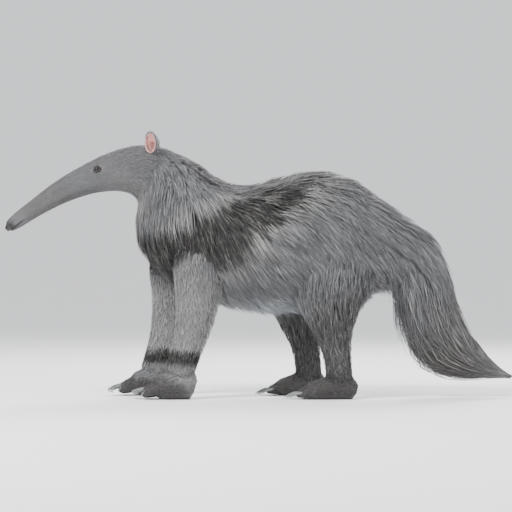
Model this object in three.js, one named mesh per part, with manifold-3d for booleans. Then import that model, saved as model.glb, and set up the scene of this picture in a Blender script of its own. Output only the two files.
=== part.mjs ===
// A giant anteater at life size, standing still with its nose to -X and its left side to -Y.
// Millimetres, +Z up, with the soles at Z = 0 and the origin under the middle of the body.
// The trunk, legs and feet are lofted through named stations that give the flesh and the depth of coat.

import * as THREE from "three";
import { mergeVertices } from "three/addons/utils/BufferGeometryUtils.js";
import Module from "manifold-3d";

const wasm = await Module();
wasm.setup();

// Driving dimensions
const seam = 0.3; // gap between pieces that meet
const coreShare = 0.42; // how far the smooth form under the locks reaches into the coat
const keptShare = 0.8; // a lock that its neighbours would cut to less than this is left out
const stanceFore = 94; // half the width between the fore wrists
const stanceHind = 92; // half the width between the hind ankles
const strideFore = 76; // how far the right forefoot is ahead of the left
const strideHind = 82; // how far the right hind foot is ahead of the left
const eyeRadius = 9.5;
const lidThickness = 3;
const earHeight = 60;
const earWidth = 46;
const earDepth = 15;
const earWall = 5;
const mouthLength = 58;
const mouthHeight = 2;
const lipHeight = 9;
const lipThickness = 1.4;

const colours = {
  head: 0x7c7d7f,
  coat: 0x7f8083,
  tail: 0x6d6b69,
  foreleg: 0xa8a8a5,
  hindleg: 0x4a494a,
  feet: 0x3a393a,
  ear: 0x5a5455,
  eye: 0x17120f,
  claw: 0x9aa0a3,
};

// The trunk from the nose tip to the tip of the tail. x and z place its centre in the middle plane. over,
// under and wide are the reach of the flesh to the back, the belly and each side of it, and crest,
// fringe and flank are the depth of the coat there.
const trunk = [
  { x: -708, z: 480, over: 8, under: 8, wide: 9, crest: 0, fringe: 0, flank: 0 }, // nose tip
  { x: -700, z: 487, over: 17, under: 16, wide: 17, crest: 0, fringe: 0, flank: 0 },
  { x: -680, z: 502, over: 21, under: 20, wide: 20, crest: 1, fringe: 1, flank: 1 },
  { x: -630, z: 539, over: 23, under: 25, wide: 23, crest: 2, fringe: 2, flank: 2 },
  { x: -556, z: 586, over: 30, under: 33, wide: 29, crest: 3, fringe: 3, flank: 3 },
  { x: -470, z: 625, over: 40, under: 43, wide: 40, crest: 4, fringe: 4, flank: 4 }, // eyes
  { x: -388, z: 648, over: 51, under: 59, wide: 54, crest: 8, fringe: 7, flank: 6 },
  { x: -314, z: 650, over: 60, under: 84, wide: 66, crest: 13, fringe: 14, flank: 11 }, // ears
  { x: -249, z: 612, over: 64, under: 122, wide: 82, crest: 26, fringe: 28, flank: 20 }, // nape
  { x: -188, z: 544, over: 78, under: 156, wide: 104, crest: 33, fringe: 38, flank: 26 },
  { x: -100, z: 472, over: 106, under: 158, wide: 130, crest: 38, fringe: 36, flank: 30 }, // shoulders
  { x: 20, z: 436, over: 138, under: 158, wide: 146, crest: 46, fringe: 38, flank: 32 },
  { x: 140, z: 438, over: 148, under: 158, wide: 148, crest: 54, fringe: 42, flank: 34 }, // loin
  { x: 250, z: 432, over: 136, under: 138, wide: 136, crest: 54, fringe: 46, flank: 38 },
  { x: 326, z: 424, over: 98, under: 100, wide: 104, crest: 50, fringe: 54, flank: 44 }, // rump
  { x: 388, z: 416, over: 60, under: 62, wide: 64, crest: 46, fringe: 64, flank: 50 },
  { x: 450, z: 386, over: 44, under: 46, wide: 44, crest: 40, fringe: 76, flank: 52 }, // tail root
  { x: 494, z: 324, over: 35, under: 37, wide: 34, crest: 37, fringe: 82, flank: 54 },
  { x: 522, z: 252, over: 29, under: 32, wide: 28, crest: 35, fringe: 104, flank: 54 },
  { x: 554, z: 180, over: 24, under: 27, wide: 23, crest: 34, fringe: 112, flank: 50 },
  { x: 598, z: 122, over: 17, under: 19, wide: 16, crest: 30, fringe: 66, flank: 42 },
  { x: 652, z: 84, over: 8, under: 8, wide: 7, crest: 20, fringe: 26, flank: 26 }, // end of the bone
  { x: 716, z: 62, over: 1, under: 1, wide: 1, crest: 4, fringe: 6, flank: 5 }, // end of the hair
];
// The trunk's pieces lie between these stations.
const headEnd = 7.4;
const trunkPieces = [
  { name: "neck", from: headEnd, to: 9.3, rings: 6, sides: 18, colour: colours.coat },
  { name: "torso", from: 9.3, to: 15, rings: 14, sides: 18, colour: colours.coat },
  { name: "tail_base", from: 15, to: 17.2, rings: 5, sides: 12, colour: colours.tail },
  { name: "tail_middle", from: 17.2, to: 19, rings: 4, sides: 12, colour: colours.tail },
  { name: "tail_end", from: 19, to: 21, rings: 5, sides: 12, colour: colours.tail },
];
// The coat of each piece grows in staggered rows between two stations, across an arc whose middle is on the
// back, or behind a leg. reach is how far a lock runs along the stations, sway how far it turns down round
// the body, rise how far past the coat's depth its tip may stand, and edgeways how far the blade's flat
// faces turn to the animal's sides, so that it adds to the outline.
const coats = {
  neck: [
    { from: 7.6, to: 8.7, rows: 3, around: 6, arc: 4.4, reach: 1.15, sway: 0.2, width: 80, thick: 16 },
    { from: 7.9, to: 8.9, rows: 2, around: 3, mid: Math.PI, arc: 1, reach: 1, width: 62, edgeways: 0.8 },
  ],
  torso: [
    { from: 9.6, to: 13.5, rows: 5, around: 8, arc: 4.5, reach: 1.75, sway: 0.22, width: 92, thick: 18 },
    { from: 9.6, to: 13.8, rows: 7, around: 1, reach: 1.5, width: 78, thick: 20, rise: 0.3, edgeways: 1 },
    { from: 10.5, to: 11.8, rows: 2, around: 3, mid: Math.PI, arc: 1.3, reach: 1.3, width: 76, edgeways: 0.8 },
  ],
  tail_base: [
    { from: 14.9, to: 16, rows: 2, around: 8, reach: 1.9, width: 62, thick: 14, rise: 0.12, edgeways: 0.7 },
  ],
  tail_middle: [
    { from: 17.3, to: 18, rows: 2, around: 8, reach: 1.9, width: 60, thick: 14, rise: 0.12, edgeways: 0.7 },
  ],
  tail_end: [
    { from: 19.1, to: 20, rows: 2, around: 6, reach: 1.9, width: 62, thick: 14, rise: 0.1, edgeways: 0.7 },
    { from: 20.6, to: 20.6, rows: 1, around: 3, reach: 1.3, width: 32, thick: 10, rise: 0, edgeways: 0.7 },
  ],
  upper_hindleg: [
    { from: 1.7, to: 3.2, rows: 3, around: 5, mid: 0.5, arc: 3.6, reach: 1.2, width: 62, thick: 13 },
  ],
};
const lockDefaults = { mid: 0, arc: 2 * Math.PI, sway: 0, thick: 14, rise: 0.12, edgeways: 0 };

// The left legs from the top down, where over reaches back and under reaches ahead
const foreleg = [
  { x: -160, y: -40, z: 500, over: 26, under: 26, wide: 14, crest: 3, fringe: 3, flank: 3 },
  { x: -162, y: -68, z: 450, over: 56, under: 54, wide: 36, crest: 10, fringe: 8, flank: 8 }, // shoulder
  { x: -165, y: -92, z: 370, over: 64, under: 60, wide: 50, crest: 18, fringe: 11, flank: 11 },
  { x: -168, y: -101, z: 284, over: 55, under: 51, wide: 48, crest: 18, fringe: 9, flank: 9 }, // elbow
  { x: -180, y: -99, z: 195, over: 44, under: 43, wide: 42, crest: 11, fringe: 7, flank: 7 },
  { x: -198, y: -96, z: 125, over: 38, under: 40, wide: 38, crest: 6, fringe: 5, flank: 5 },
  { x: -214, y: -stanceFore, z: 72, over: 36, under: 40, wide: 38, crest: 4, fringe: 4, flank: 4 }, // wrist
];
const hindleg = [
  { x: 236, y: -46, z: 505, over: 46, under: 46, wide: 20, crest: 8, fringe: 8, flank: 6 },
  { x: 226, y: -78, z: 446, over: 84, under: 86, wide: 52, crest: 30, fringe: 20, flank: 20 }, // hip
  { x: 214, y: -92, z: 362, over: 96, under: 100, wide: 60, crest: 42, fringe: 24, flank: 24 },
  { x: 206, y: -98, z: 284, over: 78, under: 82, wide: 54, crest: 38, fringe: 22, flank: 20 }, // knee
  { x: 214, y: -98, z: 212, over: 50, under: 54, wide: 44, crest: 22, fringe: 14, flank: 12 },
  { x: 224, y: -95, z: 150, over: 37, under: 38, wide: 36, crest: 9, fringe: 7, flank: 7 },
  { x: 232, y: -stanceHind, z: 98, over: 33, under: 35, wide: 34, crest: 5, fringe: 5, flank: 5 },
  { x: 236, y: -stanceHind, z: 58, over: 32, under: 35, wide: 34, crest: 4, fringe: 4, flank: 4 }, // ankle
];
// The left feet from the knuckles or toes back to the heel, which the floor cuts flat
const forefoot = [
  { x: -322, y: -stanceFore, z: 20, over: 12, under: 12, wide: 26, crest: 2, fringe: 0, flank: 2 },
  { x: -306, y: -stanceFore, z: 24, over: 25, under: 26, wide: 41, crest: 3, fringe: 0, flank: 2 },
  { x: -262, y: -stanceFore, z: 32, over: 37, under: 40, wide: 46, crest: 4, fringe: 0, flank: 3 },
  { x: -220, y: -stanceFore, z: 40, over: 44, under: 48, wide: 44, crest: 4, fringe: 0, flank: 3 },
  { x: -184, y: -stanceFore, z: 38, over: 38, under: 42, wide: 37, crest: 4, fringe: 0, flank: 3 },
  { x: -170, y: -stanceFore, z: 34, over: 18, under: 18, wide: 18, crest: 2, fringe: 0, flank: 2 },
];
const hindfoot = [
  { x: 112, y: -stanceHind, z: 15, over: 8, under: 8, wide: 28, crest: 2, fringe: 0, flank: 2 },
  { x: 128, y: -stanceHind, z: 18, over: 18, under: 22, wide: 42, crest: 3, fringe: 0, flank: 2 },
  { x: 172, y: -stanceHind, z: 24, over: 28, under: 31, wide: 43, crest: 4, fringe: 0, flank: 3 },
  { x: 226, y: -stanceHind, z: 32, over: 37, under: 38, wide: 39, crest: 4, fringe: 0, flank: 3 },
  { x: 268, y: -stanceHind, z: 28, over: 30, under: 34, wide: 31, crest: 4, fringe: 0, flank: 3 },
  { x: 284, y: -stanceHind, z: 24, over: 14, under: 12, wide: 14, crest: 2, fringe: 0, flank: 2 },
];

// The fore claws curl in and back under the knuckles. across is the root's place from the foot's middle,
// to the outside, and radius and turn give the curve of each claw.
const foreClaws = [
  { across: -28, radius: 14, turn: 1.5, width: 8, height: 8, rootZ: 25, tipZ: 10 },
  { across: -12, radius: 27, turn: 2.3, width: 13, height: 13, rootZ: 27, tipZ: 10 },
  { across: 9, radius: 36, turn: 2.5, width: 17, height: 16, rootZ: 28, tipZ: 11 },
  { across: 30, radius: 17, turn: 1.4, width: 9, height: 9, rootZ: 24, tipZ: 9 },
];
const hindToes = [-30, -15.5, 0, 15, 28];
const hindClawSize = { width: 9.5, height: 10, reach: 47 };

// A body through stations that run along +X or down, with angle 0 on the back (or behind a leg) and a
// quarter turn on the animal's left. Its smooth form takes in the whole coat where there are no locks.
function bodyThrough(stations, coreAt = () => 1) {
  const last = stations.length - 1;
  const curve = (pick) => new THREE.CatmullRomCurve3(stations.map((s) => new THREE.Vector3(...pick(s))));
  const spine = curve((s) => [s.x, s.y ?? 0, s.z]);
  const flesh = curve((s) => [s.over, s.under, s.wide]);
  const coat = curve((s) => [s.crest, s.fringe, s.flank]);
  const at = (t) => spine.getPoint(THREE.MathUtils.clamp(t / last, 0, 1));
  // A section stands across the mean direction of a stretch of the spine, so that sections fan out evenly
  // round a bend and don't cross inside it.
  function section(t) {
    const share = THREE.MathUtils.clamp(t / last, 0, 1);
    const along = at(t + 1).sub(at(t - 1)).normalize();
    const left = new THREE.Vector3(0, -1, 0).addScaledVector(along, along.y).normalize();
    const back = new THREE.Vector3().crossVectors(left, along);
    return {
      centre: at(t),
      along,
      left,
      back,
      flesh: flesh.getPoint(share),
      coat: coat.getPoint(share),
    };
  }
  // A point of the surface, with a share of the coat under it
  function place(t, angle, share = coreAt(t)) {
    const { centre, left, back, flesh: bare, coat: hair } = section(t);
    const reach = bare.addScaledVector(hair, share);
    return centre
      .addScaledVector(back, (Math.cos(angle) > 0 ? reach.x : reach.y) * Math.cos(angle))
      .addScaledVector(left, reach.z * Math.sin(angle));
  }
  // The way out of the surface and the way along it, at a point of it
  function skin(t, angle) {
    const step = 0.02;
    const along = place(t + step, angle).sub(place(t - step, angle)).normalize();
    const round = place(t, angle + step).sub(place(t, angle - step)).normalize();
    const out = new THREE.Vector3().crossVectors(round, along).normalize();
    return { point: place(t, angle), out, along };
  }
  return { last, section, place, skin };
}

function solidOf(geometry) {
  geometry.deleteAttribute("normal");
  geometry.deleteAttribute("uv");
  const merged = mergeVertices(geometry, 1e-4);
  return new wasm.Manifold(
    new wasm.Mesh({
      numProp: 3,
      vertProperties: merged.attributes.position.array,
      triVerts: new Uint32Array(merged.index.array),
    }),
  );
}

// A cylinder or a cone whose every vertex is moved to its place: put(share, angle, reach) gets the share of
// its length from the base, the angle round it and its distance from the axis, 0 or 1.
function moulded(geometry, put) {
  const positions = geometry.getAttribute("position");
  for (let i = 0; i < positions.count; i++) {
    const [x, y, z] = [positions.getX(i), positions.getY(i), positions.getZ(i)];
    const placed = put(y + 0.5, Math.atan2(x, z), Math.hypot(x, z) > 1e-6 ? 1 : 0);
    positions.setXYZ(i, placed.x, placed.y, placed.z);
  }
  return solidOf(geometry);
}

// A length of a body between two stations, drawn in by half a seam at each end. A grown one is the room that
// its neighbours keep clear of.
function stretch(body, { from, to, rings, sides }, grow = 0) {
  return moulded(new THREE.CylinderGeometry(1, 1, 1, sides, rings), (along, angle, reach) => {
    const t = THREE.MathUtils.lerp(from, to, along);
    const section = body.section(t);
    const end = along === 0 ? 1 : along === 1 ? -1 : 0;
    const point = reach ? body.place(t, angle) : section.centre;
    if (grow && reach) {
      const { out } = body.skin(t, angle);
      point.addScaledVector(end ? out.projectOnPlane(section.along) : out, 2 * grow);
    }
    return point.addScaledVector(section.along, end * (seam / 2 - grow));
  });
}

function ellipsoid(centre, radii, segments) {
  const sphere = new THREE.SphereGeometry(1, segments, Math.round(segments * 0.7));
  return solidOf(sphere.scale(...radii).translate(...centre));
}

function join(...solids) {
  return wasm.Manifold.union(solids.flat());
}

function without(solid, ...cutters) {
  return cutters.flat().reduce((left, cutter) => left.subtract(cutter), solid);
}

function largest(solid) {
  return solid.decompose().reduce((a, b) => (b.volume() > a.volume() ? b : a));
}

function meshOf(name, solid, colour, roughness = 0.9) {
  const { vertProperties, triVerts } = largest(solid).getMesh();
  const geometry = new THREE.BufferGeometry()
    .setAttribute("position", new THREE.BufferAttribute(vertProperties, 3))
    .setIndex(new THREE.BufferAttribute(triVerts, 1));
  geometry.computeVertexNormals();
  const material = new THREE.MeshStandardMaterial({ color: colour, roughness, metalness: 0 });
  const mesh = new THREE.Mesh(geometry, material);
  mesh.name = name;
  return mesh;
}

// A lock is a blade with a low ridge and a flat underside, rooted in the body. It rises through the coat,
// lies back on it and tapers out.
function lock(body, { t, angle, reach, sway, width, thick, rise, edgeways }, grow = 0) {
  const at = (along, share) => body.place(t + reach * along, angle + sway * along, share);
  const root = at(0, 0).lerp(body.section(t).centre, 0.1);
  const path = new THREE.CatmullRomCurve3([root, at(0.3, 0.55), at(0.65, 0.94), at(1, 1 + rise)]);
  const out = at(0.5, 2).sub(at(0.5, 0)).normalize();
  const sideways = new THREE.Vector3(0, Math.sin(angle) > 0 ? -1 : 1, 0);
  const facing = out.lerp(sideways, edgeways).normalize();
  return moulded(new THREE.ConeGeometry(1, 1, 3, 3), (share, turn, near) => {
    const along = path.getTangent(share);
    const across = new THREE.Vector3().crossVectors(along, facing).normalize();
    const over = new THREE.Vector3().crossVectors(across, along);
    const halfWidth = 0.58 * width * Math.sin(Math.PI * (0.22 + 0.78 * share)) + 5 * grow;
    const halfThick = 0.6 * thick * (1 - 0.5 * share) + 2 * grow;
    return path
      .getPoint(share)
      .addScaledVector(across, near * halfWidth * Math.sin(turn))
      .addScaledVector(over, near * halfThick * Math.cos(turn))
      .addScaledVector(along, share === 1 ? 4 * grow : 0);
  });
}

// Draws between -1 and 1, the same at every run
function seeded(seed) {
  let state = seed;
  return () => {
    state = (state * 1664525 + 1013904223) % 4294967296;
    return state / 2147483648 - 1;
  };
}

// Locks of one coat, with tips that spread a little and hang to the outside of the body. turned is -1 on a
// right leg, whose outside is at the other hand.
function rowsOfLocks(coat, draw, turned) {
  const { from, to, rows, around, mid, arc, reach, sway, width, thick, rise, edgeways } = {
    ...lockDefaults,
    ...coat,
  };
  const shapes = [];
  for (let row = 0; row < rows; row++)
    for (let i = 0; i < around; i++) {
      const place = (i + 0.25 + (row % 2) * 0.5 + draw() * 0.12) / around - 0.5;
      const angle = turned * (mid + (around > 1 ? place * arc : 0));
      shapes.push({
        t: THREE.MathUtils.lerp(from, to, rows > 1 ? row / (rows - 1) : 0) + draw() * 0.05,
        angle,
        reach: reach * (1 + draw() * 0.1),
        sway: Math.sin(angle) * sway + draw() * 0.05,
        width: width * (1 + draw() * 0.12),
        thick,
        rise: rise * (1 + draw()) * 0.5,
        edgeways,
      });
    }
  return shapes;
}

const headToNeck = (t) => THREE.MathUtils.lerp(1, coreShare, THREE.MathUtils.smoothstep(t, headEnd, 8));
const trunkBody = bodyThrough(trunk, headToNeck);
const floor = solidOf(new THREE.BoxGeometry(2400, 1200, 200).translate(0, 0, -100));
const bothSides = [
  { name: "left", side: -1, foreAhead: 0, hindAhead: 0 },
  { name: "right", side: 1, foreAhead: strideFore, hindAhead: strideHind },
];
const animal = new THREE.Group();

// Head
const headPiece = { from: 0, to: headEnd, rings: 24, sides: 18 };
const eyePlace = { t: 5.3, angle: 1.26 };
const earPlace = { t: 7.02, angle: 0.8 };

function eyeBall(side, grow = 0) {
  const { point, out } = trunkBody.skin(eyePlace.t, -side * eyePlace.angle);
  const centre = point.addScaledVector(out, -eyeRadius * 0.5);
  return ellipsoid(centre.toArray(), Array(3).fill(eyeRadius + grow), 10);
}

function eyeLids(side) {
  const { point, out, along } = trunkBody.skin(eyePlace.t, -side * eyePlace.angle);
  const rim = new THREE.TorusGeometry(eyeRadius, lidThickness, 4, 12).scale(1.25, 0.85, 1);
  const across = new THREE.Vector3().crossVectors(out, along);
  const turn = new THREE.Matrix4().makeBasis(along, across, out);
  return solidOf(rim.applyMatrix4(turn.setPosition(point)));
}

// The cup of an ear is half of a deep bowl that opens forward and out.
function ear(side, grow = 0) {
  const { point } = trunkBody.skin(earPlace.t, -side * earPlace.angle);
  const bowl = (wall, segments) =>
    new THREE.SphereGeometry(1, segments, Math.round(segments * 0.7)).scale(
      earDepth - wall,
      earWidth / 2 - wall,
      earHeight / 2 - wall,
    );
  const outer = solidOf(bowl(-grow, 12));
  const hollow = solidOf(bowl(earWall, 12).translate(-earDepth * 0.4, 0, 1));
  const mouthSide = solidOf(new THREE.BoxGeometry(60, 120, 120).translate(-33, 0, 0));
  const cup = grow ? outer : without(outer, hollow, mouthSide);
  const tall = new THREE.Vector3(0.12, side * 0.4, 0.9).normalize();
  const deep = new THREE.Vector3(0.55, -side * 0.8, 0);
  deep.addScaledVector(tall, -deep.dot(tall)).normalize();
  const wide = new THREE.Vector3().crossVectors(tall, deep);
  const centre = point.addScaledVector(tall, earHeight * 0.34);
  return cup.transform(new THREE.Matrix4().makeBasis(deep, wide, tall).setPosition(centre).elements);
}

function nostrils() {
  const { centre, along, back } = trunkBody.section(0.5);
  const at = centre.addScaledVector(along, -7).addScaledVector(back, 5);
  return [-1, 1].map((side) => ellipsoid([at.x, side * 8, at.z], [8, 3.4, 4.6], 8));
}

// The slit of the mouth runs round the tip of the snout between two thin lips, each cut from one flat form.
function mouthPiece(height) {
  const { along, back } = trunkBody.section(2);
  const nose = trunkBody.section(0);
  const flat = new THREE.SphereGeometry(1, 10, 5).scale(mouthLength + height, 40, height / 2);
  const turn = new THREE.Matrix4().makeBasis(along, new THREE.Vector3(0, 1, 0), back.clone());
  const at = nose.centre.addScaledVector(back, -9);
  return solidOf(flat.applyMatrix4(turn.setPosition(at)));
}

function makeHead() {
  const lips = stretch(trunkBody, { from: 0.1, to: 2.3, rings: 6, sides: 14 }, lipThickness / 2);
  const whole = join([
    stretch(trunkBody, headPiece),
    lips.intersect(mouthPiece(lipHeight)),
    ...bothSides.map(({ side }) => eyeLids(side)),
  ]);
  const head = without(
    whole,
    bothSides.map(({ side }) => [eyeBall(side, seam), ear(side, seam)]).flat(),
    nostrils(),
    mouthPiece(mouthHeight),
  );
  animal.add(meshOf("head", head, colours.head));
  for (const { name, side } of bothSides) {
    animal.add(meshOf(`eye_${name}`, eyeBall(side), colours.eye, 0.15));
    animal.add(meshOf(`ear_${name}`, ear(side), colours.ear));
  }
}

// Claws
function claw(points, width, height, grow) {
  const path = new THREE.CatmullRomCurve3(points);
  return moulded(new THREE.ConeGeometry(1, 1, 6, 5), (share, angle, reach) => {
    const along = path.getTangent(share);
    const across = new THREE.Vector3().crossVectors(along, new THREE.Vector3(0, 0, 1)).normalize();
    const over = new THREE.Vector3().crossVectors(across, along);
    const taper = Math.pow(1 - share, 0.7);
    return path
      .getPoint(share)
      .addScaledVector(across, reach * ((width / 2) * taper + grow) * Math.sin(angle))
      .addScaledVector(over, reach * ((height / 2) * taper + grow) * Math.cos(angle))
      .addScaledVector(along, share === 1 ? grow : 0);
  });
}

function foreClaw({ across, radius, turn, width, height, rootZ, tipZ }, { side, foreAhead }, grow = 0) {
  const rootX = -314 - foreAhead + Math.abs(across) * 0.25;
  const buried = new THREE.Vector3(rootX + 14, side * (stanceFore + across), rootZ);
  const curl = [0, 0.25, 0.5, 0.75, 1].map((share) => {
    const bend = share * turn;
    return new THREE.Vector3(
      rootX - radius * Math.sin(bend),
      side * (stanceFore + across - radius * (1 - Math.cos(bend))),
      THREE.MathUtils.lerp(rootZ, tipZ, share),
    );
  });
  return claw([buried, ...curl], width, height, grow);
}

function hindClaw(across, { side, hindAhead }, grow = 0) {
  const { width, height, reach } = hindClawSize;
  const rootX = 124 - hindAhead + Math.abs(across) * 0.5;
  const y = side * (stanceHind + across);
  const points = [
    new THREE.Vector3(rootX, y, 18),
    new THREE.Vector3(rootX - reach * 0.35, y, 17),
    new THREE.Vector3(rootX - reach * 0.7, y, 11.5),
    new THREE.Vector3(rootX - reach, y, 3),
  ];
  return claw(points, width, height, grow);
}

// Legs and feet. Each leg is parted under the long hair of its upper half.
const legKinds = [
  {
    kind: "fore",
    stations: foreleg,
    footStations: forefoot,
    rings: 10,
    colour: colours.foreleg,
    toes: () => [],
    claws: (where) => foreClaws.map((shape) => (grow) => foreClaw(shape, where, grow)),
  },
  {
    kind: "hind",
    stations: hindleg,
    footStations: hindfoot,
    rings: 6,
    parting: 3.9,
    upperRings: 7,
    colour: colours.hindleg,
    toes: ({ side, hindAhead }) =>
      hindToes.map((across) =>
        ellipsoid(
          [122 - hindAhead + Math.abs(across) * 0.45, side * (stanceHind + across), 14],
          [17, 9, 13],
          6,
        ),
      ),
    claws: (where) => hindToes.map((across) => (grow) => hindClaw(across, where, grow)),
  },
];

function placed(stations, side, ahead, coreAt) {
  return bodyThrough(
    stations.map((s) => ({ ...s, x: s.x - ahead, y: s.y * -side })),
    coreAt,
  );
}

// Every piece with a coat, as { name, body, core, room, colour }, where room is its form grown by a seam
const coated = trunkPieces.map((piece) => ({
  name: piece.name,
  coat: piece.name,
  body: trunkBody,
  turned: 1,
  core: stretch(trunkBody, piece),
  room: stretch(trunkBody, piece, seam),
  colour: piece.colour,
}));
const bare = [];
// All that lies ahead of the seam behind the head is the head's room.
function aheadOfNeck() {
  const { centre, along, back } = trunkBody.section(headEnd);
  const [deep, broad, tall] = [400, 500, 700];
  const block = new THREE.BoxGeometry(deep, broad, tall).translate(seam / 2 - deep / 2, 0, 0);
  const turn = new THREE.Matrix4().makeBasis(along, new THREE.Vector3(0, 1, 0), back);
  return solidOf(block.applyMatrix4(turn.setPosition(centre)));
}
const rooms = { head: aheadOfNeck() };

for (const where of bothSides)
  for (const leg of legKinds) {
    const ahead = leg.kind === "fore" ? where.foreAhead : where.hindAhead;
    const parting = leg.parting ?? 0;
    const thinning = (t) => THREE.MathUtils.lerp(coreShare, 1, THREE.MathUtils.smoothstep(t, 1.8, parting));
    const body = placed(leg.stations, where.side, ahead, parting ? thinning : undefined);
    const foot = placed(leg.footStations, where.side, ahead);
    const lower = { from: parting, to: body.last, rings: leg.rings, sides: 12 };
    if (parting) {
      const upper = { from: 0, to: parting, rings: leg.upperRings, sides: 12 };
      coated.push({
        name: `upper_${leg.kind}leg_${where.name}`,
        coat: `upper_${leg.kind}leg`,
        body,
        turned: -where.side,
        core: stretch(body, upper),
        room: stretch(body, upper, seam),
        colour: leg.colour,
      });
    }
    const lowerName = `${parting ? "lower_" : ""}${leg.kind}leg_${where.name}`;
    rooms[lowerName] = stretch(body, lower, seam);
    bare.push({ name: lowerName, solid: stretch(body, lower), colour: leg.colour });
    const claws = leg.claws(where);
    const footPiece = without(
      join(stretch(foot, { from: 0, to: foot.last, rings: 6, sides: 10 }), leg.toes(where)),
      rooms[lowerName],
      claws.map((clawOf) => clawOf(seam)),
      floor,
    );
    bare.push({ name: `${leg.kind}foot_${where.name}`, solid: footPiece, colour: colours.feet });
    claws.forEach((clawOf, i) =>
      bare.push({
        name: `${leg.kind}claw_${where.name}_${i + 1}`,
        solid: clawOf(0),
        colour: colours.claw,
        roughness: 0.45,
      }),
    );
  }

const legRooms = [
  ...coated.filter(({ name }) => name.includes("leg")).map(({ room }) => room),
  rooms.foreleg_left,
  rooms.foreleg_right,
];
makeHead();
const laid = [];
coated.forEach((piece, index) => {
  const draw = seeded(index * 977 + 5);
  const others = coated.filter((other) => other !== piece).map(({ room }) => room);
  const obstacles = [...others, ...Object.values(rooms), ...laid];
  const kept = [];
  for (const shape of coats[piece.coat].map((coat) => rowsOfLocks(coat, draw, piece.turned)).flat()) {
    const whole = lock(piece.body, shape);
    const clear = without(whole, obstacles);
    if (clear.volume() > keptShare * whole.volume()) kept.push({ clear, shape });
  }
  const core = piece.body === trunkBody ? without(piece.core, legRooms) : piece.core;
  const solid = join([core, ...kept.map(({ clear }) => clear)]);
  animal.add(meshOf(piece.name, solid, piece.colour));
  laid.push(join(kept.map(({ shape }) => lock(piece.body, shape, seam))));
});
for (const { name, solid, colour, roughness } of bare) animal.add(meshOf(name, solid, colour, roughness));

export default animal;
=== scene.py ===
import math

import bmesh
import bpy
import numpy as np
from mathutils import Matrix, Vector
from mathutils.bvhtree import BVHTree


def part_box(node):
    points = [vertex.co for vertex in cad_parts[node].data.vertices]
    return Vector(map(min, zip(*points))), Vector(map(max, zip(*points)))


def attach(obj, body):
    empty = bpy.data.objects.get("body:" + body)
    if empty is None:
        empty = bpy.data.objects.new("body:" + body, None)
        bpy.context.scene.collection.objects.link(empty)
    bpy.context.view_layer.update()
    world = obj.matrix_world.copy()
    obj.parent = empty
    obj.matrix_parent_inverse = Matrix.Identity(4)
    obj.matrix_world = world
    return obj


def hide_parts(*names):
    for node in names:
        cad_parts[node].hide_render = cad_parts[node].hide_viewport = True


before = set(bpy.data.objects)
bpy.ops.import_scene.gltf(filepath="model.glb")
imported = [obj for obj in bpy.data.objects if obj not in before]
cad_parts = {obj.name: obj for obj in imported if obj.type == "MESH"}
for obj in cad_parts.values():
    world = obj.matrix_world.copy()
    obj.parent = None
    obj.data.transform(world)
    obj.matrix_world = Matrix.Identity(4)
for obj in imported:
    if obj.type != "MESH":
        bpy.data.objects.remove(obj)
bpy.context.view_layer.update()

# The animal stands with its nose to -X and its left side to -Y. All lengths are in metres.
dice = np.random.default_rng(1871)
strideFore = 0.076  # the right forefoot is this far ahead of the left one
strideHind = 0.082
stanceFore = 0.094  # half the width between the fore wrists
stanceHind = 0.092
halfTurn = math.pi
# the name of each side, its way along Y, and how far its forefoot and hind foot are ahead
bothSides = [("Left", -1, 0, 0), ("Right", 1, strideFore, strideHind)]

# sections of the body: x, y, z, flesh over, under and to the side, coat over, under and to the side
trunkRows = [
    (-0.708, 0, 0.48, 0.008, 0.008, 0.009, 0, 0, 0),  # nose tip
    (-0.7, 0, 0.487, 0.017, 0.016, 0.017, 0, 0, 0),
    (-0.68, 0, 0.502, 0.021, 0.02, 0.02, 0.001, 0.001, 0.001),
    (-0.63, 0, 0.539, 0.023, 0.025, 0.023, 0.002, 0.002, 0.002),
    (-0.556, 0, 0.586, 0.03, 0.033, 0.029, 0.003, 0.003, 0.003),
    (-0.47, 0, 0.625, 0.04, 0.043, 0.04, 0.004, 0.004, 0.004),  # eyes
    (-0.388, 0, 0.648, 0.051, 0.059, 0.054, 0.008, 0.007, 0.006),
    (-0.314, 0, 0.65, 0.06, 0.084, 0.066, 0.013, 0.014, 0.011),  # ears
    (-0.249, 0, 0.612, 0.064, 0.122, 0.082, 0.026, 0.028, 0.02),  # nape
    (-0.188, 0, 0.544, 0.078, 0.156, 0.104, 0.033, 0.038, 0.026),
    (-0.1, 0, 0.472, 0.106, 0.158, 0.13, 0.038, 0.036, 0.03),  # shoulders
    (0.02, 0, 0.436, 0.138, 0.158, 0.146, 0.046, 0.038, 0.032),
    (0.14, 0, 0.438, 0.148, 0.158, 0.148, 0.054, 0.042, 0.034),  # loin
    (0.25, 0, 0.432, 0.136, 0.138, 0.136, 0.054, 0.046, 0.038),
    (0.326, 0, 0.424, 0.098, 0.1, 0.104, 0.05, 0.054, 0.044),  # rump
    (0.388, 0, 0.416, 0.06, 0.062, 0.064, 0.046, 0.064, 0.05),
    (0.45, 0, 0.386, 0.044, 0.046, 0.044, 0.04, 0.076, 0.052),  # tail root
    (0.494, 0, 0.324, 0.035, 0.037, 0.034, 0.037, 0.082, 0.054),
    (0.522, 0, 0.252, 0.029, 0.032, 0.028, 0.035, 0.104, 0.054),
    (0.554, 0, 0.18, 0.024, 0.027, 0.023, 0.034, 0.112, 0.05),
    (0.598, 0, 0.122, 0.017, 0.019, 0.016, 0.03, 0.066, 0.042),
    (0.652, 0, 0.084, 0.008, 0.008, 0.007, 0.02, 0.026, 0.026),  # end of the bone
    (0.716, 0, 0.062, 0.001, 0.001, 0.001, 0.004, 0.006, 0.005),  # end of the hair
]
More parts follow.
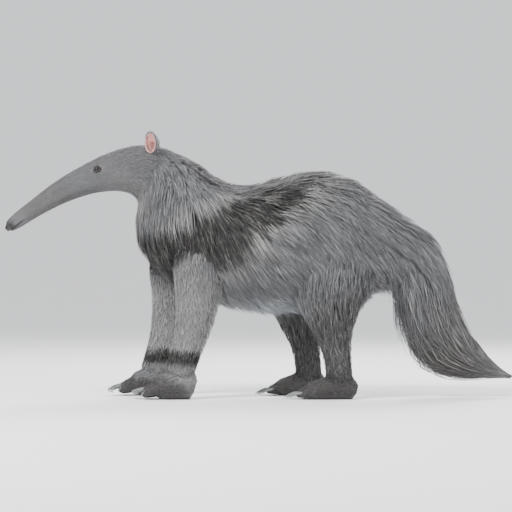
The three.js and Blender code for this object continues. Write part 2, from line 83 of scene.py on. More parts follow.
# legs run down, with over behind and under ahead; the left ones are given
forelegRows = [
    (-0.16, -0.04, 0.5, 0.026, 0.026, 0.014, 0.003, 0.003, 0.003),
    (-0.162, -0.068, 0.45, 0.056, 0.054, 0.036, 0.01, 0.008, 0.008),  # shoulder
    (-0.165, -0.092, 0.37, 0.064, 0.06, 0.05, 0.018, 0.011, 0.011),
    (-0.168, -0.101, 0.284, 0.055, 0.051, 0.048, 0.018, 0.009, 0.009),  # elbow
    (-0.18, -0.099, 0.195, 0.044, 0.043, 0.042, 0.011, 0.007, 0.007),
    (-0.198, -0.096, 0.125, 0.038, 0.04, 0.038, 0.006, 0.005, 0.005),
    (-0.214, -stanceFore, 0.072, 0.036, 0.04, 0.038, 0.004, 0.004, 0.004),  # wrist
]
hindlegRows = [
    (0.236, -0.046, 0.505, 0.046, 0.046, 0.02, 0.008, 0.008, 0.006),
    (0.226, -0.078, 0.446, 0.084, 0.086, 0.052, 0.03, 0.02, 0.02),  # hip
    (0.214, -0.092, 0.362, 0.096, 0.1, 0.06, 0.042, 0.024, 0.024),
    (0.206, -0.098, 0.284, 0.078, 0.082, 0.054, 0.038, 0.022, 0.02),  # knee
    (0.214, -0.098, 0.212, 0.05, 0.054, 0.044, 0.022, 0.014, 0.012),
    (0.224, -0.095, 0.15, 0.037, 0.038, 0.036, 0.009, 0.007, 0.007),
    (0.232, -stanceHind, 0.098, 0.033, 0.035, 0.034, 0.005, 0.005, 0.005),
    (0.236, -stanceHind, 0.058, 0.032, 0.035, 0.034, 0.004, 0.004, 0.004),  # ankle
]
# feet run from the toes back to the heel
forefootRows = [
    (-0.322, -stanceFore, 0.02, 0.012, 0.012, 0.026, 0.002, 0, 0.002),
    (-0.306, -stanceFore, 0.024, 0.025, 0.026, 0.041, 0.003, 0, 0.002),
    (-0.262, -stanceFore, 0.032, 0.037, 0.04, 0.046, 0.004, 0, 0.003),
    (-0.22, -stanceFore, 0.04, 0.044, 0.048, 0.044, 0.004, 0, 0.003),
    (-0.184, -stanceFore, 0.038, 0.038, 0.042, 0.037, 0.004, 0, 0.003),
    (-0.17, -stanceFore, 0.034, 0.018, 0.018, 0.018, 0.002, 0, 0.002),
]
hindfootRows = [
    (0.112, -stanceHind, 0.015, 0.008, 0.008, 0.028, 0.002, 0, 0.002),
    (0.128, -stanceHind, 0.018, 0.018, 0.022, 0.042, 0.003, 0, 0.002),
    (0.172, -stanceHind, 0.024, 0.028, 0.031, 0.043, 0.004, 0, 0.003),
    (0.226, -stanceHind, 0.032, 0.037, 0.038, 0.039, 0.004, 0, 0.003),
    (0.268, -stanceHind, 0.028, 0.03, 0.034, 0.031, 0.004, 0, 0.003),
    (0.284, -stanceHind, 0.024, 0.014, 0.012, 0.014, 0.002, 0, 0.002),
]
# soft forms on the head: station, angle from the top, reach along and round, height
headForms = [
    (5.15, 0.95, 0.4, 0.3, 0.003),  # brow
    (5.3, 1.26, 0.3, 0.34, 0.004),  # round the eye
    (6.15, 1.0, 0.42, 0.3, -0.003),  # temple
    (6.4, 2.0, 0.6, 0.4, 0.005),  # cheek
    (4.2, 2.15, 0.9, 0.22, 0.0016),  # jaw
    (3.9, 1.55, 1.3, 0.25, -0.0016),  # hollow along the snout
    (0.75, 0.9, 0.4, 0.4, 0.0012),  # wings of the nose
    (7.0, 0.8, 0.3, 0.3, 0.004),  # root of the ear
]


def unit(v):
    return v / np.maximum(np.linalg.norm(v, axis=-1, keepdims=True), 1e-9)


def smoothStep(x, low, high):
    s = np.clip((x - low) / (high - low), 0, 1)
    return s * s * (3 - 2 * s)


def hill(x, middle, reach):
    return np.exp(-(((x - middle) / reach) ** 2))


def circle(sides):
    return np.arange(sides) * 2 * halfTurn / sides


def curveThrough(points, t):
    # a smooth curve through the points, where t counts them, paced by the gaps between them
    padded = np.vstack([2 * points[0] - points[1], points, 2 * points[-1] - points[-2]])
    t = np.clip(t, 0, len(points) - 1)
    i = np.minimum(t.astype(int), len(points) - 2)
    p0, p1, p2, p3 = (padded[i + k] for k in range(4))
    steps = (p0, p1), (p1, p2), (p2, p3)
    g0, g1, g2 = (np.sqrt(np.linalg.norm(b - a, axis=-1, keepdims=True)) for a, b in steps)
    least = 1e-4  # points closer than this count as one
    g1 = np.where(g1 < least, 0.03, g1)
    g0 = np.where(g0 < least, g1, g0)
    g2 = np.where(g2 < least, g1, g2)
    m1 = ((p1 - p0) / g0 - (p2 - p0) / (g0 + g1) + (p2 - p1) / g1) * g1
    m2 = ((p2 - p1) / g1 - (p3 - p1) / (g1 + g2) + (p3 - p2) / g2) * g1
    w = (t - i)[..., None]
    return p1 + w * (m1 + w * (3 * (p2 - p1) - 2 * m1 - m2 + w * (2 * (p1 - p2) + m1 + m2)))


def makeBody(rows, side=-1, ahead=0.0, forms=()):
    rows = np.array(rows, float)
    spine = rows[:, :3] * (1, -side, 1) - (ahead, 0, 0)
    return dict(spine=spine, flesh=rows[:, 3:6], coat=rows[:, 6:9], last=len(rows) - 1, forms=forms)


def sectionAt(body, t):
    centre = curveThrough(body["spine"], t)
    along = unit(curveThrough(body["spine"], t + 1) - curveThrough(body["spine"], t - 1))
    left = unit(np.array((0.0, -1.0, 0.0)) + along * along[..., 1:2])
    return centre, along, left, np.cross(left, along)


def placeOn(body, t, angle, share):
    # a point of the body with a share of the coat under it, and the way out of the body there
    t, angle, share = np.broadcast_arrays(np.asarray(t, float), angle, share)
    centre, _, left, back = sectionAt(body, t)
    coat = np.maximum(curveThrough(body["coat"], t), 0)
    reach = curveThrough(body["flesh"], t) + coat * share[..., None]
    turned = np.abs((angle + halfTurn) % (2 * halfTurn) - halfTurn)
    for formT, formAngle, spanT, spanAngle, height in body["forms"]:
        bump = np.exp(-(((t - formT) / spanT) ** 2) - ((turned - formAngle) / spanAngle) ** 2)
        reach = reach + (height * bump)[..., None]
    up = np.where(np.cos(angle) > 0, reach[..., 0], reach[..., 1])
    offset = back * (up * np.cos(angle))[..., None] + left * (reach[..., 2] * np.sin(angle))[..., None]
    return centre + offset, unit(offset)


def spansOn(body, t, angle):
    # how far one station and one radian carry along the skin
    step = 0.03
    ahead = placeOn(body, t + step, angle, 0.0)[0] - placeOn(body, t - step, angle, 0.0)[0]
    girth = placeOn(body, t, angle + step, 0.0)[0] - placeOn(body, t, angle - step, 0.0)[0]
    return np.linalg.norm(ahead, axis=-1) / (2 * step), np.linalg.norm(girth, axis=-1) / (2 * step)


trunk = makeBody(trunkRows, forms=headForms)
legs = {}  # and feet
for sideName, side, aheadFore, aheadHind in bothSides:
    legs["foreleg" + sideName] = makeBody(forelegRows, side, aheadFore)
    legs["hindleg" + sideName] = makeBody(hindlegRows, side, aheadHind)
    legs["forefoot" + sideName] = makeBody(forefootRows, side, aheadFore)
    legs["hindfoot" + sideName] = makeBody(hindfootRows, side, aheadHind)


# eyes, ears, nose and mouth: places worked out once, used by the skin and the hair
def nodeMiddle(node):
    low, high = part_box(node)
    return (np.array(low) + np.array(high)) / 2, (np.array(high) - np.array(low)) / 2


eye = dict(
    t=5.3, angle=1.26,
    halfLong=0.0074, upper=0.0052, lower=0.0043,  # the opening between the lids
    lid=0.0013, lidReach=0.0175, lidRound=0.86,
)
ear = dict(t=7.02, angle=0.8, tall=0.06, wide=0.046, deep=0.015, wall=0.0026)
mouth = dict(length=0.058, drop=0.009)
nostril = dict(
    t=0.5, ahead=0.0075, up=0.005, apart=0.0078,
    inner=1.1, innerApart=0.002,  # the station that the hole points to
    radii=(0.0075, 0.0036, 0.0047), depth=0.006, rim=0.0009,
)
eyes, ears = {}, {}
for sideName, side, _, _ in bothSides:
    middle, half = nodeMiddle("eye_" + sideName.lower())
    point, _ = placeOn(trunk, eye["t"], -side * eye["angle"], 1.0)
    ahead = placeOn(trunk, eye["t"] + 0.05, -side * eye["angle"], 1.0)[0] - point
    out = unit(point - middle)
    along = unit(ahead - out * (ahead @ out))
    up = np.cross(out, along) * side
    eyes[sideName] = dict(middle=middle, radius=float(half.max()), out=out, along=along, up=up)
    root, _ = placeOn(trunk, ear["t"], -side * ear["angle"], 1.0)
    tall = unit(np.array((0.12, side * 0.4, 0.9)))
    deep = np.array((0.55, -side * 0.8, 0.0))
    deep = unit(deep - tall * (deep @ tall))
    middle = root + tall * ear["tall"] * 0.34
    ears[sideName] = dict(middle=middle, tall=tall, deep=deep, wide=np.cross(tall, deep))
noseAxis = sectionAt(trunk, np.array(2.0))
noseTip = sectionAt(trunk, np.array(0.0))[0]
nostrils = []  # the opening and the way in
for _, side, _, _ in bothSides:
    centre, along, _, back = sectionAt(trunk, np.array(nostril["t"]))
    apart = np.array((0, side * nostril["apart"], 0))
    opening = centre - along * nostril["ahead"] + back * nostril["up"] + apart
    apart = np.array((0, side * nostril["innerApart"], 0))
    nostrils.append((opening, unit(sectionAt(trunk, np.array(nostril["inner"]))[0] + apart - opening)))


# mesh helpers
def meshPiece(name, points, faces):
    mesh = bpy.data.meshes.new(name)
    mesh.from_pydata([tuple(p) for p in points], [], [tuple(f) for f in faces])
    mesh.polygons.foreach_set("use_smooth", [True] * len(mesh.polygons))
    piece = bpy.data.objects.new(name, mesh)
    bpy.context.scene.collection.objects.link(piece)
    return piece


def tubeFaces(rings, sides):
    # a tube of rings closed by a fan at each end; the two fan points come last
    faces = []
    for r in range(rings - 1):
        for s in range(sides):
            n = (s + 1) % sides
            faces.append((r * sides + s, r * sides + n, (r + 1) * sides + n, (r + 1) * sides + s))
    first, last = rings * sides, rings * sides + 1
    for s in range(sides):
        n = (s + 1) % sides
        faces.append((first, n, s))
        faces.append((last, (rings - 1) * sides + s, (rings - 1) * sides + n))
    return faces


def tube(name, rings):
    # rings is an array of rings x sides x 3
    ends = np.array([rings[0].mean(0), rings[-1].mean(0)])
    count, sides = rings.shape[:2]
    return meshPiece(name, np.vstack([rings.reshape(-1, 3), ends]), tubeFaces(count, sides))


def evenSteps(low, high, count, peaks=()):
    # count values from low to high, closer together at the peaks (centre, reach, gain)
    x = np.linspace(low, high, 2000)
    density = np.ones_like(x)
    for centre, reach, gain in peaks:
        density += gain * hill(x, centre, reach)
    total = np.concatenate([[0], np.cumsum((density[1:] + density[:-1]) / 2)])
    return np.interp(np.linspace(0, total[-1], count), total, x)


def baked(piece, name):
    # the piece with its modifiers applied
    mesh = bpy.data.meshes.new_from_object(piece.evaluated_get(bpy.context.evaluated_depsgraph_get()))
    mesh.name = name
    result = bpy.data.objects.new(name, mesh)
    bpy.context.scene.collection.objects.link(result)
    bpy.data.objects.remove(piece)
    return result


def coordinates(piece):
    co = np.empty(len(piece.data.vertices) * 3)
    piece.data.vertices.foreach_get("co", co)
    return co.reshape(-1, 3)


def joined(name, parts):
    points, faces, start = [], [], 0
    for part in parts:
        points.append(coordinates(part))
        faces += [tuple(v + start for v in p.vertices) for p in part.data.polygons]
        start += len(part.data.vertices)
        bpy.data.objects.remove(part)
    return meshPiece(name, np.vstack(points), faces)


def turnedOut(piece):
    # faces all look outward, which a union needs
    form = bmesh.new()
    form.from_mesh(piece.data)
    if form.calc_volume(signed=True) < 0:
        piece.data.flip_normals()
        print(piece.name, "was inside out")
    form.free()
    return piece


def addAttribute(mesh, name, values):
    # a number or a vector for each point, which the materials read
    values = np.asarray(values, float)
    kind, field = ("FLOAT_VECTOR", "vector") if values.ndim == 2 else ("FLOAT", "value")
    mesh.attributes.new(name, kind, "POINT").data.foreach_set(field, values.ravel())


def canonical(place):
    # right limbs are a step ahead, so their markings are read at the left ones' places
    x, y, z = place[..., 0], place[..., 1], place[..., 2]
    legTop, legClear = 0.42, 0.26  # between these heights the body fades into its limbs
    loin, tailStart = 0.02, 0.38
    low = smoothStep(-z, -legTop, -legClear) * (y > 0)
    shift = np.where(x < loin, strideFore, strideHind) * low * (x < tailStart)
    return np.stack([x + shift, np.abs(y), z], -1)


# shader helpers
def tone(red, green, blue):
    # a screen colour from 0 to 255 as the shader's own
    shares = (red / 255, green / 255, blue / 255)
    return tuple(((c + 0.055) / 1.055) ** 2.4 if c > 0.04 else c / 12.92 for c in shares) + (1,)


def wire(tree, value, socket):
    if isinstance(value, bpy.types.NodeSocket):
        tree.links.new(value, socket)
    else:
        socket.default_value = value


def calc(tree, operation, *values, clamp=False):
    node = tree.nodes.new("ShaderNodeMath")
    node.operation = operation
    node.use_clamp = clamp
    for value, socket in zip(values, node.inputs):
        wire(tree, value, socket)
    return node.outputs[0]


def vectorCalc(tree, operation, *values):
    node = tree.nodes.new("ShaderNodeVectorMath")
    node.operation = operation
    for value, socket in zip(values, node.inputs):
        wire(tree, value, socket)
    return node.outputs["Value" if operation in ("LENGTH", "DOT_PRODUCT", "DISTANCE") else "Vector"]


def fade(tree, value, low, high, start=0.0, end=1.0):
    node = tree.nodes.new("ShaderNodeMapRange")
    node.interpolation_type = "SMOOTHSTEP"
    labels = ("Value", "From Min", "From Max", "To Min", "To Max")
    for label, setting in zip(labels, (value, low, high, start, end)):
        wire(tree, setting, node.inputs[label])
    return node.outputs["Result"]


def blend(tree, factor, first, second, how="MIX"):
    node = tree.nodes.new("ShaderNodeMix")
    node.data_type = "RGBA"
    node.blend_type = how
    for value, index in ((factor, 0), (first, 6), (second, 7)):
        wire(tree, value, node.inputs[index])
    return node.outputs[2]


def noise(tree, place, scale, detail=3.0, roughness=0.55, output="Fac"):
    node = tree.nodes.new("ShaderNodeTexNoise")
    wire(tree, place, node.inputs["Vector"])
    for name, setting in (("Scale", scale), ("Detail", detail), ("Roughness", roughness)):
        wire(tree, setting, node.inputs[name])
    return node.outputs[output]


def attribute(tree, name, output="Fac"):
    node = tree.nodes.new("ShaderNodeAttribute")
    node.attribute_name = name
    return node.outputs[output]


def newGroup(name, inputs, outputs):
    tree = bpy.data.node_groups.new(name, "ShaderNodeTree")
    for label, kind, value in inputs:
        socket = tree.interface.new_socket(label, in_out="INPUT", socket_type=kind)
        socket.default_value = value
    for label, kind in outputs:
        tree.interface.new_socket(label, in_out="OUTPUT", socket_type=kind)
    return tree, tree.nodes.new("NodeGroupInput").outputs, tree.nodes.new("NodeGroupOutput").inputs


def useGroup(tree, group, **values):
    node = tree.nodes.new("ShaderNodeGroup")
    node.node_tree = group
    for label, value in values.items():
        wire(tree, value, node.inputs[label])
    return node.outputs


def newMaterial(name, settings):
    material = bpy.data.materials.new(name)
    material.use_nodes = True
    tree = material.node_tree
    shader = tree.nodes["Principled BSDF"]
    for label, value in settings.items():
        shader.inputs[label].default_value = value
    return material, tree, shader


def addBump(tree, shader, height, strength, distance):
    node = tree.nodes.new("ShaderNodeBump")
    node.inputs["Strength"].default_value = strength
    node.inputs["Distance"].default_value = distance
    tree.links.new(height, node.inputs["Height"])
    tree.links.new(node.outputs["Normal"], shader.inputs["Normal"])


# markings shared by skin and coat, read at the left side's places
markings = dict(
    body=tone(113, 114, 117), snout=tone(104, 103, 104), face=tone(118, 118, 120), nose=tone(34, 31, 31),
    cheek=tone(130, 130, 131), back=tone(92, 91, 92), tail=tone(98, 97, 98), tailUnder=tone(80, 78, 77),
    # the belly is pale, and its tone is lifted further as painted light against the shade under the body
    belly=tone(172, 177, 182), dark=tone(36, 34, 33), pale=tone(152, 152, 150), foreleg=tone(146, 146, 145),
    hindleg=tone(76, 75, 75), foot=tone(58, 56, 55), patch=tone(84, 82, 81),
    bandStart=(-0.345, 0.0, 0.43), bandEnd=(0.17, 0.0, 0.605), bandWide=0.09, borderWide=0.018, fray=0.014,
    nosePlace=(-0.712, 0.0, 0.477), noseReach=(0.05, 0.022),
    wander=22.0, wanderReach=(0.04, 0.03, 0.04), patches=7.0, patchShare=0.3,
)
# where each tone lies: its name, middle, reach and softness
bodyZones = [
    ("face", (-0.38, 0.0, 0.66), (0.13, 0.09, 0.09), 0.5),
    ("snout", (-0.60, 0.0, 0.55), (0.16, 0.06, 0.07), 0.6),
    ("cheek", (-0.36, 0.05, 0.585), (0.09, 0.07, 0.045), 0.5),
    ("back", (0.12, 0.0, 0.64), (0.42, 0.055, 0.12), 0.5),
    # the belly's pale tone is partly painted light that lifts the shaded underside
    ("belly", (0.0, 0.0, 0.25), (0.2, 0.23, 0.1), 0.4),
    ("tail", (0.56, 0.0, 0.2), (0.2, 0.12, 0.26), 0.4),
    ("tailUnder", (0.47, 0.0, 0.16), (0.11, 0.1, 0.17), 0.4),
]
limbZones = [
    ("foreleg", (-0.178, 0.1, 0.215), (0.105, 0.1, 0.185), 0.3),
    ("hindleg", (0.222, 0.1, 0.17), (0.13, 0.1, 0.2), 0.45),
    ("dark", (-0.205, 0.095, 0.118), (0.085, 0.08, 0.026), 0.35),
    ("foot", (-0.27, 0.094, 0.015), (0.1, 0.085, 0.05), 0.3),
    ("foot", (0.19, 0.094, 0.015), (0.14, 0.085, 0.055), 0.3),
]


def addZones(tree, place, colour, zones):
    for name, middle, reach, soft in zones:
        away = vectorCalc(tree, "DIVIDE", vectorCalc(tree, "SUBTRACT", place, middle), reach)
        inside = fade(tree, vectorCalc(tree, "LENGTH", away), 1 + soft * 0.6, 1 - soft)
        colour = blend(tree, inside, colour, markings[name])
    return colour


def makeMarkings():
    d = markings
    inputs = [("Place", "NodeSocketVector", (0, 0, 0))]
    tree, given, result = newGroup("coatMarkings", inputs, [("Colour", "NodeSocketColor")])
    place = given["Place"]
    wander = vectorCalc(tree, "SUBTRACT", noise(tree, place, d["wander"], output="Color"), (0.5, 0.5, 0.5))
    place = vectorCalc(tree, "ADD", place, vectorCalc(tree, "MULTIPLY", wander, d["wanderReach"]))
    colour = addZones(tree, place, d["body"], bodyZones)
    colour = shoulderBand(tree, place, colour)
    colour = addZones(tree, place, colour, limbZones)
    patches = fade(tree, noise(tree, place, d["patches"], 2.0), 0.35, 0.75, 0.0, d["patchShare"])
    colour = blend(tree, patches, colour, d["patch"])
    fromNose = vectorCalc(tree, "LENGTH", vectorCalc(tree, "SUBTRACT", place, d["nosePlace"]))
    colour = blend(tree, fade(tree, fromNose, *d["noseReach"]), colour, d["nose"])
    wire(tree, colour, result["Colour"])
    return tree


def shoulderBand(tree, place, colour):
    # a dark wedge from the chest over the shoulder towards the back, with a pale line on each side
    d = markings
    start, end = np.array(d["bandStart"]), np.array(d["bandEnd"])
    length = float(np.linalg.norm(end - start))
    along = (end - start) / length
    across = np.array((-along[2], 0, along[0]))
    away = vectorCalc(tree, "SUBTRACT", place, tuple(start))
    share = calc(tree, "DIVIDE", vectorCalc(tree, "DOT_PRODUCT", away, tuple(along)), length)
    offset = calc(tree, "ABSOLUTE", vectorCalc(tree, "DOT_PRODUCT", away, tuple(across)))
    left = calc(tree, "MAXIMUM", calc(tree, "SUBTRACT", 1.0, share), 0.0)
    half = calc(tree, "MULTIPLY", calc(tree, "POWER", left, 0.75), d["bandWide"])
    fromEdge = calc(tree, "SUBTRACT", offset, half)
    reach = calc(tree, "MULTIPLY", fade(tree, share, 1.16, 0.98), fade(tree, share, -0.16, 0.0))
    border = fade(tree, fromEdge, d["borderWide"] + d["fray"], d["borderWide"] * 0.6)
    border = calc(tree, "MULTIPLY", border, reach)
    border = calc(tree, "MULTIPLY", border, fade(tree, share, 0.12, 0.36))
    inside = calc(tree, "MULTIPLY", fade(tree, fromEdge, d["fray"] * 0.4, -d["fray"] * 0.4), reach)
    inside = calc(tree, "MULTIPLY", inside, fade(tree, share, 1.0, 0.9))
    split = tree.nodes.new("ShaderNodeSeparateXYZ")
    wire(tree, place, split.inputs[0])
    # behind the shoulder it stays off the spine
    offSpine = fade(tree, split.outputs[1], 0.03, 0.075)
    offSpine = calc(tree, "ADD", offSpine, fade(tree, share, 0.5, 0.3), clamp=True)
    inside = calc(tree, "MULTIPLY", inside, offSpine)
    border = calc(tree, "MULTIPLY", border, offSpine)
    return blend(tree, inside, blend(tree, border, colour, d["pale"]), d["dark"])


def makeGrizzle():
    # each hair is dark at its root and banded further out, and some hairs are all pale or all dark
    inputs = [
        ("Colour", "NodeSocketColor", (0.5, 0.5, 0.5, 1)),
        ("Along", "NodeSocketFloat", 0.5),
        ("Seed", "NodeSocketFloat", 0.5),
        ("Contrast", "NodeSocketFloat", 1.0),
        ("Bands", "NodeSocketFloat", 0.5),
    ]
    tree, given, result = newGroup("grizzle", inputs, [("Colour", "NodeSocketColor")])
    along, seed = given["Along"], given["Seed"]
    spread = calc(tree, "MULTIPLY", calc(tree, "SUBTRACT", seed, 0.5), given["Contrast"])
    bright = calc(tree, "ADD", 1.0, spread)
    shine = blend(tree, 1.0, given["Colour"], bright, "MULTIPLY")
    paleHair = calc(tree, "MULTIPLY", fade(tree, seed, 0.78, 0.86), given["Contrast"])
    shine = blend(tree, calc(tree, "MULTIPLY", paleHair, 0.4, clamp=True), shine, tone(176, 174, 168))
    phase = calc(tree, "MULTIPLY", along, 14.0)
    wave = calc(tree, "SINE", calc(tree, "ADD", phase, calc(tree, "MULTIPLY", seed, 40.0)))
    band = calc(tree, "MULTIPLY", fade(tree, wave, 0.3, 0.9), given["Bands"])
    shine = blend(tree, band, shine, blend(tree, 1.0, shine, (0.42, 0.4, 0.39, 1), "MULTIPLY"))
    root = fade(tree, along, 0.0, 0.45, 0.5, 1.0)
    shine = blend(tree, 1.0, shine, root, "MULTIPLY")
    wire(tree, shine, result["Colour"])
    return tree


def makeHairBump():
    # fine hair lying along the body, for the skin between the tufts
    inputs = [
        ("Lie", "NodeSocketVector", (0, 0, 0)),
        ("Length", "NodeSocketFloat", 0.008),
        ("Width", "NodeSocketFloat", 0.0009),
    ]
    outputs = [("Height", "NodeSocketFloat"), ("Streak", "NodeSocketFloat")]
    tree, given, result = newGroup("shortHair", inputs, outputs)
    split = tree.nodes.new("ShaderNodeSeparateXYZ")
    wire(tree, given["Lie"], split.inputs[0])
    join = tree.nodes.new("ShaderNodeCombineXYZ")
    wire(tree, calc(tree, "DIVIDE", split.outputs[0], given["Length"]), join.inputs[0])
    wire(tree, calc(tree, "DIVIDE", split.outputs[1], given["Width"]), join.inputs[1])
    fine = noise(tree, join.outputs[0], 1.0, 3.0, 0.6)
    wire(tree, fine, result["Height"])
    wire(tree, fade(tree, fine, 0.3, 0.7), result["Streak"])
    return tree


markingsGroup, grizzleGroup, shortHairGroup = makeMarkings(), makeGrizzle(), makeHairBump()


def hairMaterial(name, contrast, bands, tint=None):
    settings = {"Roughness": 0.6, "Specular IOR Level": 0.35, "Sheen Weight": 0.12}
    material, tree, shader = newMaterial(name, settings)
    place = attribute(tree, "rootPlace", "Vector")
    colour = tint or useGroup(tree, markingsGroup, Place=place)["Colour"]
    hair = useGroup(
        tree, grizzleGroup, Colour=colour, Along=attribute(tree, "alongHair"),
        Seed=attribute(tree, "hairSeed"), Contrast=contrast, Bands=bands,
    )
    wire(tree, hair["Colour"], shader.inputs["Base Color"])
    return material


def skinMaterial():
    settings = {"Specular IOR Level": 0.35, "Sheen Weight": 0.1}
    material, tree, shader = newMaterial("skin", settings)
    place = attribute(tree, "rootPlace", "Vector")
    marked = useGroup(tree, markingsGroup, Place=place)["Colour"]
    lie = attribute(tree, "lie", "Vector")
    hair = useGroup(tree, shortHairGroup, Lie=lie, Length=0.012, Width=0.0011)
    # the hair streaks darken the furred skin: partly a pattern of short hair, partly painted shade under the
    # tufts
    furry = blend(tree, hair["Streak"], blend(tree, 1.0, marked, (0.6, 0.59, 0.58, 1), "MULTIPLY"), marked)
    grain = noise(tree, place, 420.0, 4.0, 0.6)
    folds = noise(tree, place, 130.0, 3.0, 0.5)
    bare = attribute(tree, "bareSkin")
    leather = blend(tree, fade(tree, folds, 0.3, 0.75), tone(27, 24, 24), tone(46, 41, 40))
    # inside the nostrils the leather turns near black: painted shade in the holes
    leather = blend(tree, fade(tree, bare, 1.0, 2.0), leather, tone(6, 5, 5))
    pink = blend(tree, fade(tree, folds, 0.3, 0.7), tone(196, 138, 132), tone(226, 165, 156))
    inEar = attribute(tree, "inEar")
    # deep in the ear's cup the pink is darkened: painted shade in the hollow
    pink = blend(tree, fade(tree, inEar, 1.0, 2.0), pink, tone(128, 74, 70))
    colour = blend(tree, fade(tree, bare, 0.0, 1.0), furry, leather)
    colour = blend(tree, fade(tree, inEar, 0.0, 1.0), colour, pink)
    wire(tree, colour, shader.inputs["Base Color"])
    wire(tree, fade(tree, bare, 0.0, 1.0, 0.72, 0.42), shader.inputs["Roughness"])
    hairy = calc(tree, "MULTIPLY", hair["Height"], calc(tree, "SUBTRACT", 1.0, bare, clamp=True))
    creased = calc(tree, "MULTIPLY", calc(tree, "ADD", grain, calc(tree, "MULTIPLY", folds, 0.8)), bare)
    addBump(tree, shader, calc(tree, "ADD", hairy, calc(tree, "MULTIPLY", creased, 0.6)), 0.6, 0.0009)
    return material


def eyeMaterial():
    settings = {"Roughness": 0.08, "Coat Weight": 0.2, "Coat Roughness": 0.03, "Specular IOR Level": 0.28}
    material, tree, shader = newMaterial("wetEye", settings)
    turn = attribute(tree, "fromPupil")
    streaks = noise(tree, attribute(tree, "rootPlace", "Vector"), 900.0, 2.0)
    iris = blend(tree, streaks, tone(14, 9, 7), tone(40, 24, 15))
    colour = blend(tree, fade(tree, turn, 0.34, 0.42), (0.003, 0.003, 0.003, 1), iris)
    colour = blend(tree, fade(tree, turn, 0.72, 0.84), colour, tone(15, 10, 9))
    wire(tree, colour, shader.inputs["Base Color"])
    return material


def clawMaterial():
    settings = {"Specular IOR Level": 0.5, "Coat Weight": 0.15, "Coat Roughness": 0.25}
    material, tree, shader = newMaterial("horn", settings)
    lie = attribute(tree, "lie", "Vector")
    along = attribute(tree, "alongHair")
    grooves = useGroup(tree, shortHairGroup, Lie=lie, Length=0.03, Width=0.0007)
    colour = blend(tree, grooves["Streak"], tone(82, 83, 84), tone(124, 127, 129))
    colour = blend(tree, fade(tree, along, 0.35, 0.0), colour, tone(52, 49, 47))
    colour = blend(tree, fade(tree, along, 0.6, 1.0, 0.0, 0.7), colour, tone(170, 168, 161))
    wire(tree, colour, shader.inputs["Base Color"])
    worn = noise(tree, lie, 260.0, 3.0)
    wire(tree, fade(tree, worn, 0.3, 0.7, 0.28, 0.46), shader.inputs["Roughness"])
    addBump(tree, shader, grooves["Height"], 0.6, 0.0006)
    return material


hairMaterials = dict(
    coat=hairMaterial("coarseHair", 0.75, 0.45),
    face=hairMaterial("faceHair", 0.5, 0.2),
    foot=hairMaterial("footHair", 0.5, 0.15),
    ear=hairMaterial("earHair", 0.5, 0.15, tint=tone(128, 126, 126)),
)
wetEye, horn = eyeMaterial(), clawMaterial()
print("materials of the hair, eyes and claws made")


# the head's skin
headSkin = dict(
    rings=185, sides=196, end=8.35,
    ringPeaks=[(0.3, 0.9, 4.0), (eye["t"], 0.3, 2.5)],
    sidePeaks=[(eye["angle"], 0.3, 0.8), (2.1, 0.16, 1.6)],
    capRings=12, noseRound=0.0052,
    neckReach=0.75, neckShrink=0.05,  # towards the neck it draws in under the trunk's skin
    lipHeight=0.0011, lipReach=0.0024, slitDepth=0.0022,
)


def headRings():
    d = headSkin
    t = evenSteps(0, d["end"], d["rings"], d["ringPeaks"])
    half = evenSteps(0, halfTurn, d["sides"] // 2 + 1, d["sidePeaks"])
    angle = np.concatenate([half[:-1], -half[:0:-1]])
    grid = placeOn(trunk, t[:, None], angle[None, :], 0.0)[0]
    centre, along, _, _ = sectionAt(trunk, np.array(0.0))
    cap = []
    for bend in np.linspace(1.5, 0.15, d["capRings"]):
        cap.append(centre + (grid[0] - centre) * math.cos(bend) - along * d["noseRound"] * math.sin(bend))
    shrink = smoothStep(t, d["end"] - d["neckReach"], d["end"]) * d["neckShrink"]
    centres = sectionAt(trunk, t)[0][:, None]
    grid = centres + (grid - centres) * (1 - shrink)[:, None, None]
    return np.concatenate([np.array(cap), grid])


def normalsOf(grid):
    down = np.gradient(grid, axis=0)
    around = np.roll(grid, -1, axis=1) - np.roll(grid, 1, axis=1)
    return unit(np.cross(around, down))


def fromEye(place, points):
    # how far points are from the eye's middle along the eye, up and out
    away = points - place["middle"]
    return away @ place["along"], away @ place["up"], away @ place["out"]


def sinkUnderLids(grid, place):
    # the head's own skin draws back under the lids and leaves a hole for the eye
    a, b, h = fromEye(place, grid)
    r = np.hypot(a, b / eye["lidRound"])
    near = (r < 0.03) & (h > -0.012)  # the far side of the head stays as it is
    hole = np.hypot(a / (eye["halfLong"] * 1.2), b / (eye["upper"] * 1.35)) < 1  # wider than the opening
    sunk = h - 0.0016 * (1 - smoothStep(r, eye["lidReach"] * 0.5, eye["lidReach"] * 0.88))
    depth = np.sqrt(np.maximum((place["radius"] * 0.8) ** 2 - a**2 - b**2, 0))
    target = np.where(hole, np.minimum(depth, sunk), sunk)
    return grid + np.where(near, target - h, 0)[..., None] * place["out"]


lids = dict(
    sides=96, soft=0.0016, wrinkle=0.00007, edge=0.0007,
    # shares of the way from the rim out to the skin
    steps=(0, 0.02, 0.05, 0.09, 0.14, 0.19, 0.24, 0.29, 0.34, 0.4, 0.46, 0.52, 0.6, 0.68, 0.77, 0.88, 1.0),
    creases=[(0.27, 0.0009, True), (0.47, 0.0005, True), (0.33, 0.0006, False)],  # share, depth, upper lid
)


def curvedTerms(a, b):
    return np.stack([np.ones_like(a), a, b, a * a, a * b, b * b], -1)


def plainSkin(place, side):
    # a curved sheet that follows the head round the eye, as factors for curvedTerms
    t = eye["t"] + np.linspace(-0.35, 0.35, 15)
    angle = -side * (eye["angle"] + np.linspace(-0.6, 0.6, 15))
    near = placeOn(trunk, *np.meshgrid(t, angle), 0.0)[0].reshape(-1, 3)
    a, b, h = fromEye(place, near)
    close = np.hypot(a, b) < 0.023
    return np.linalg.lstsq(curvedTerms(a[close], b[close]), h[close], rcond=None)[0]


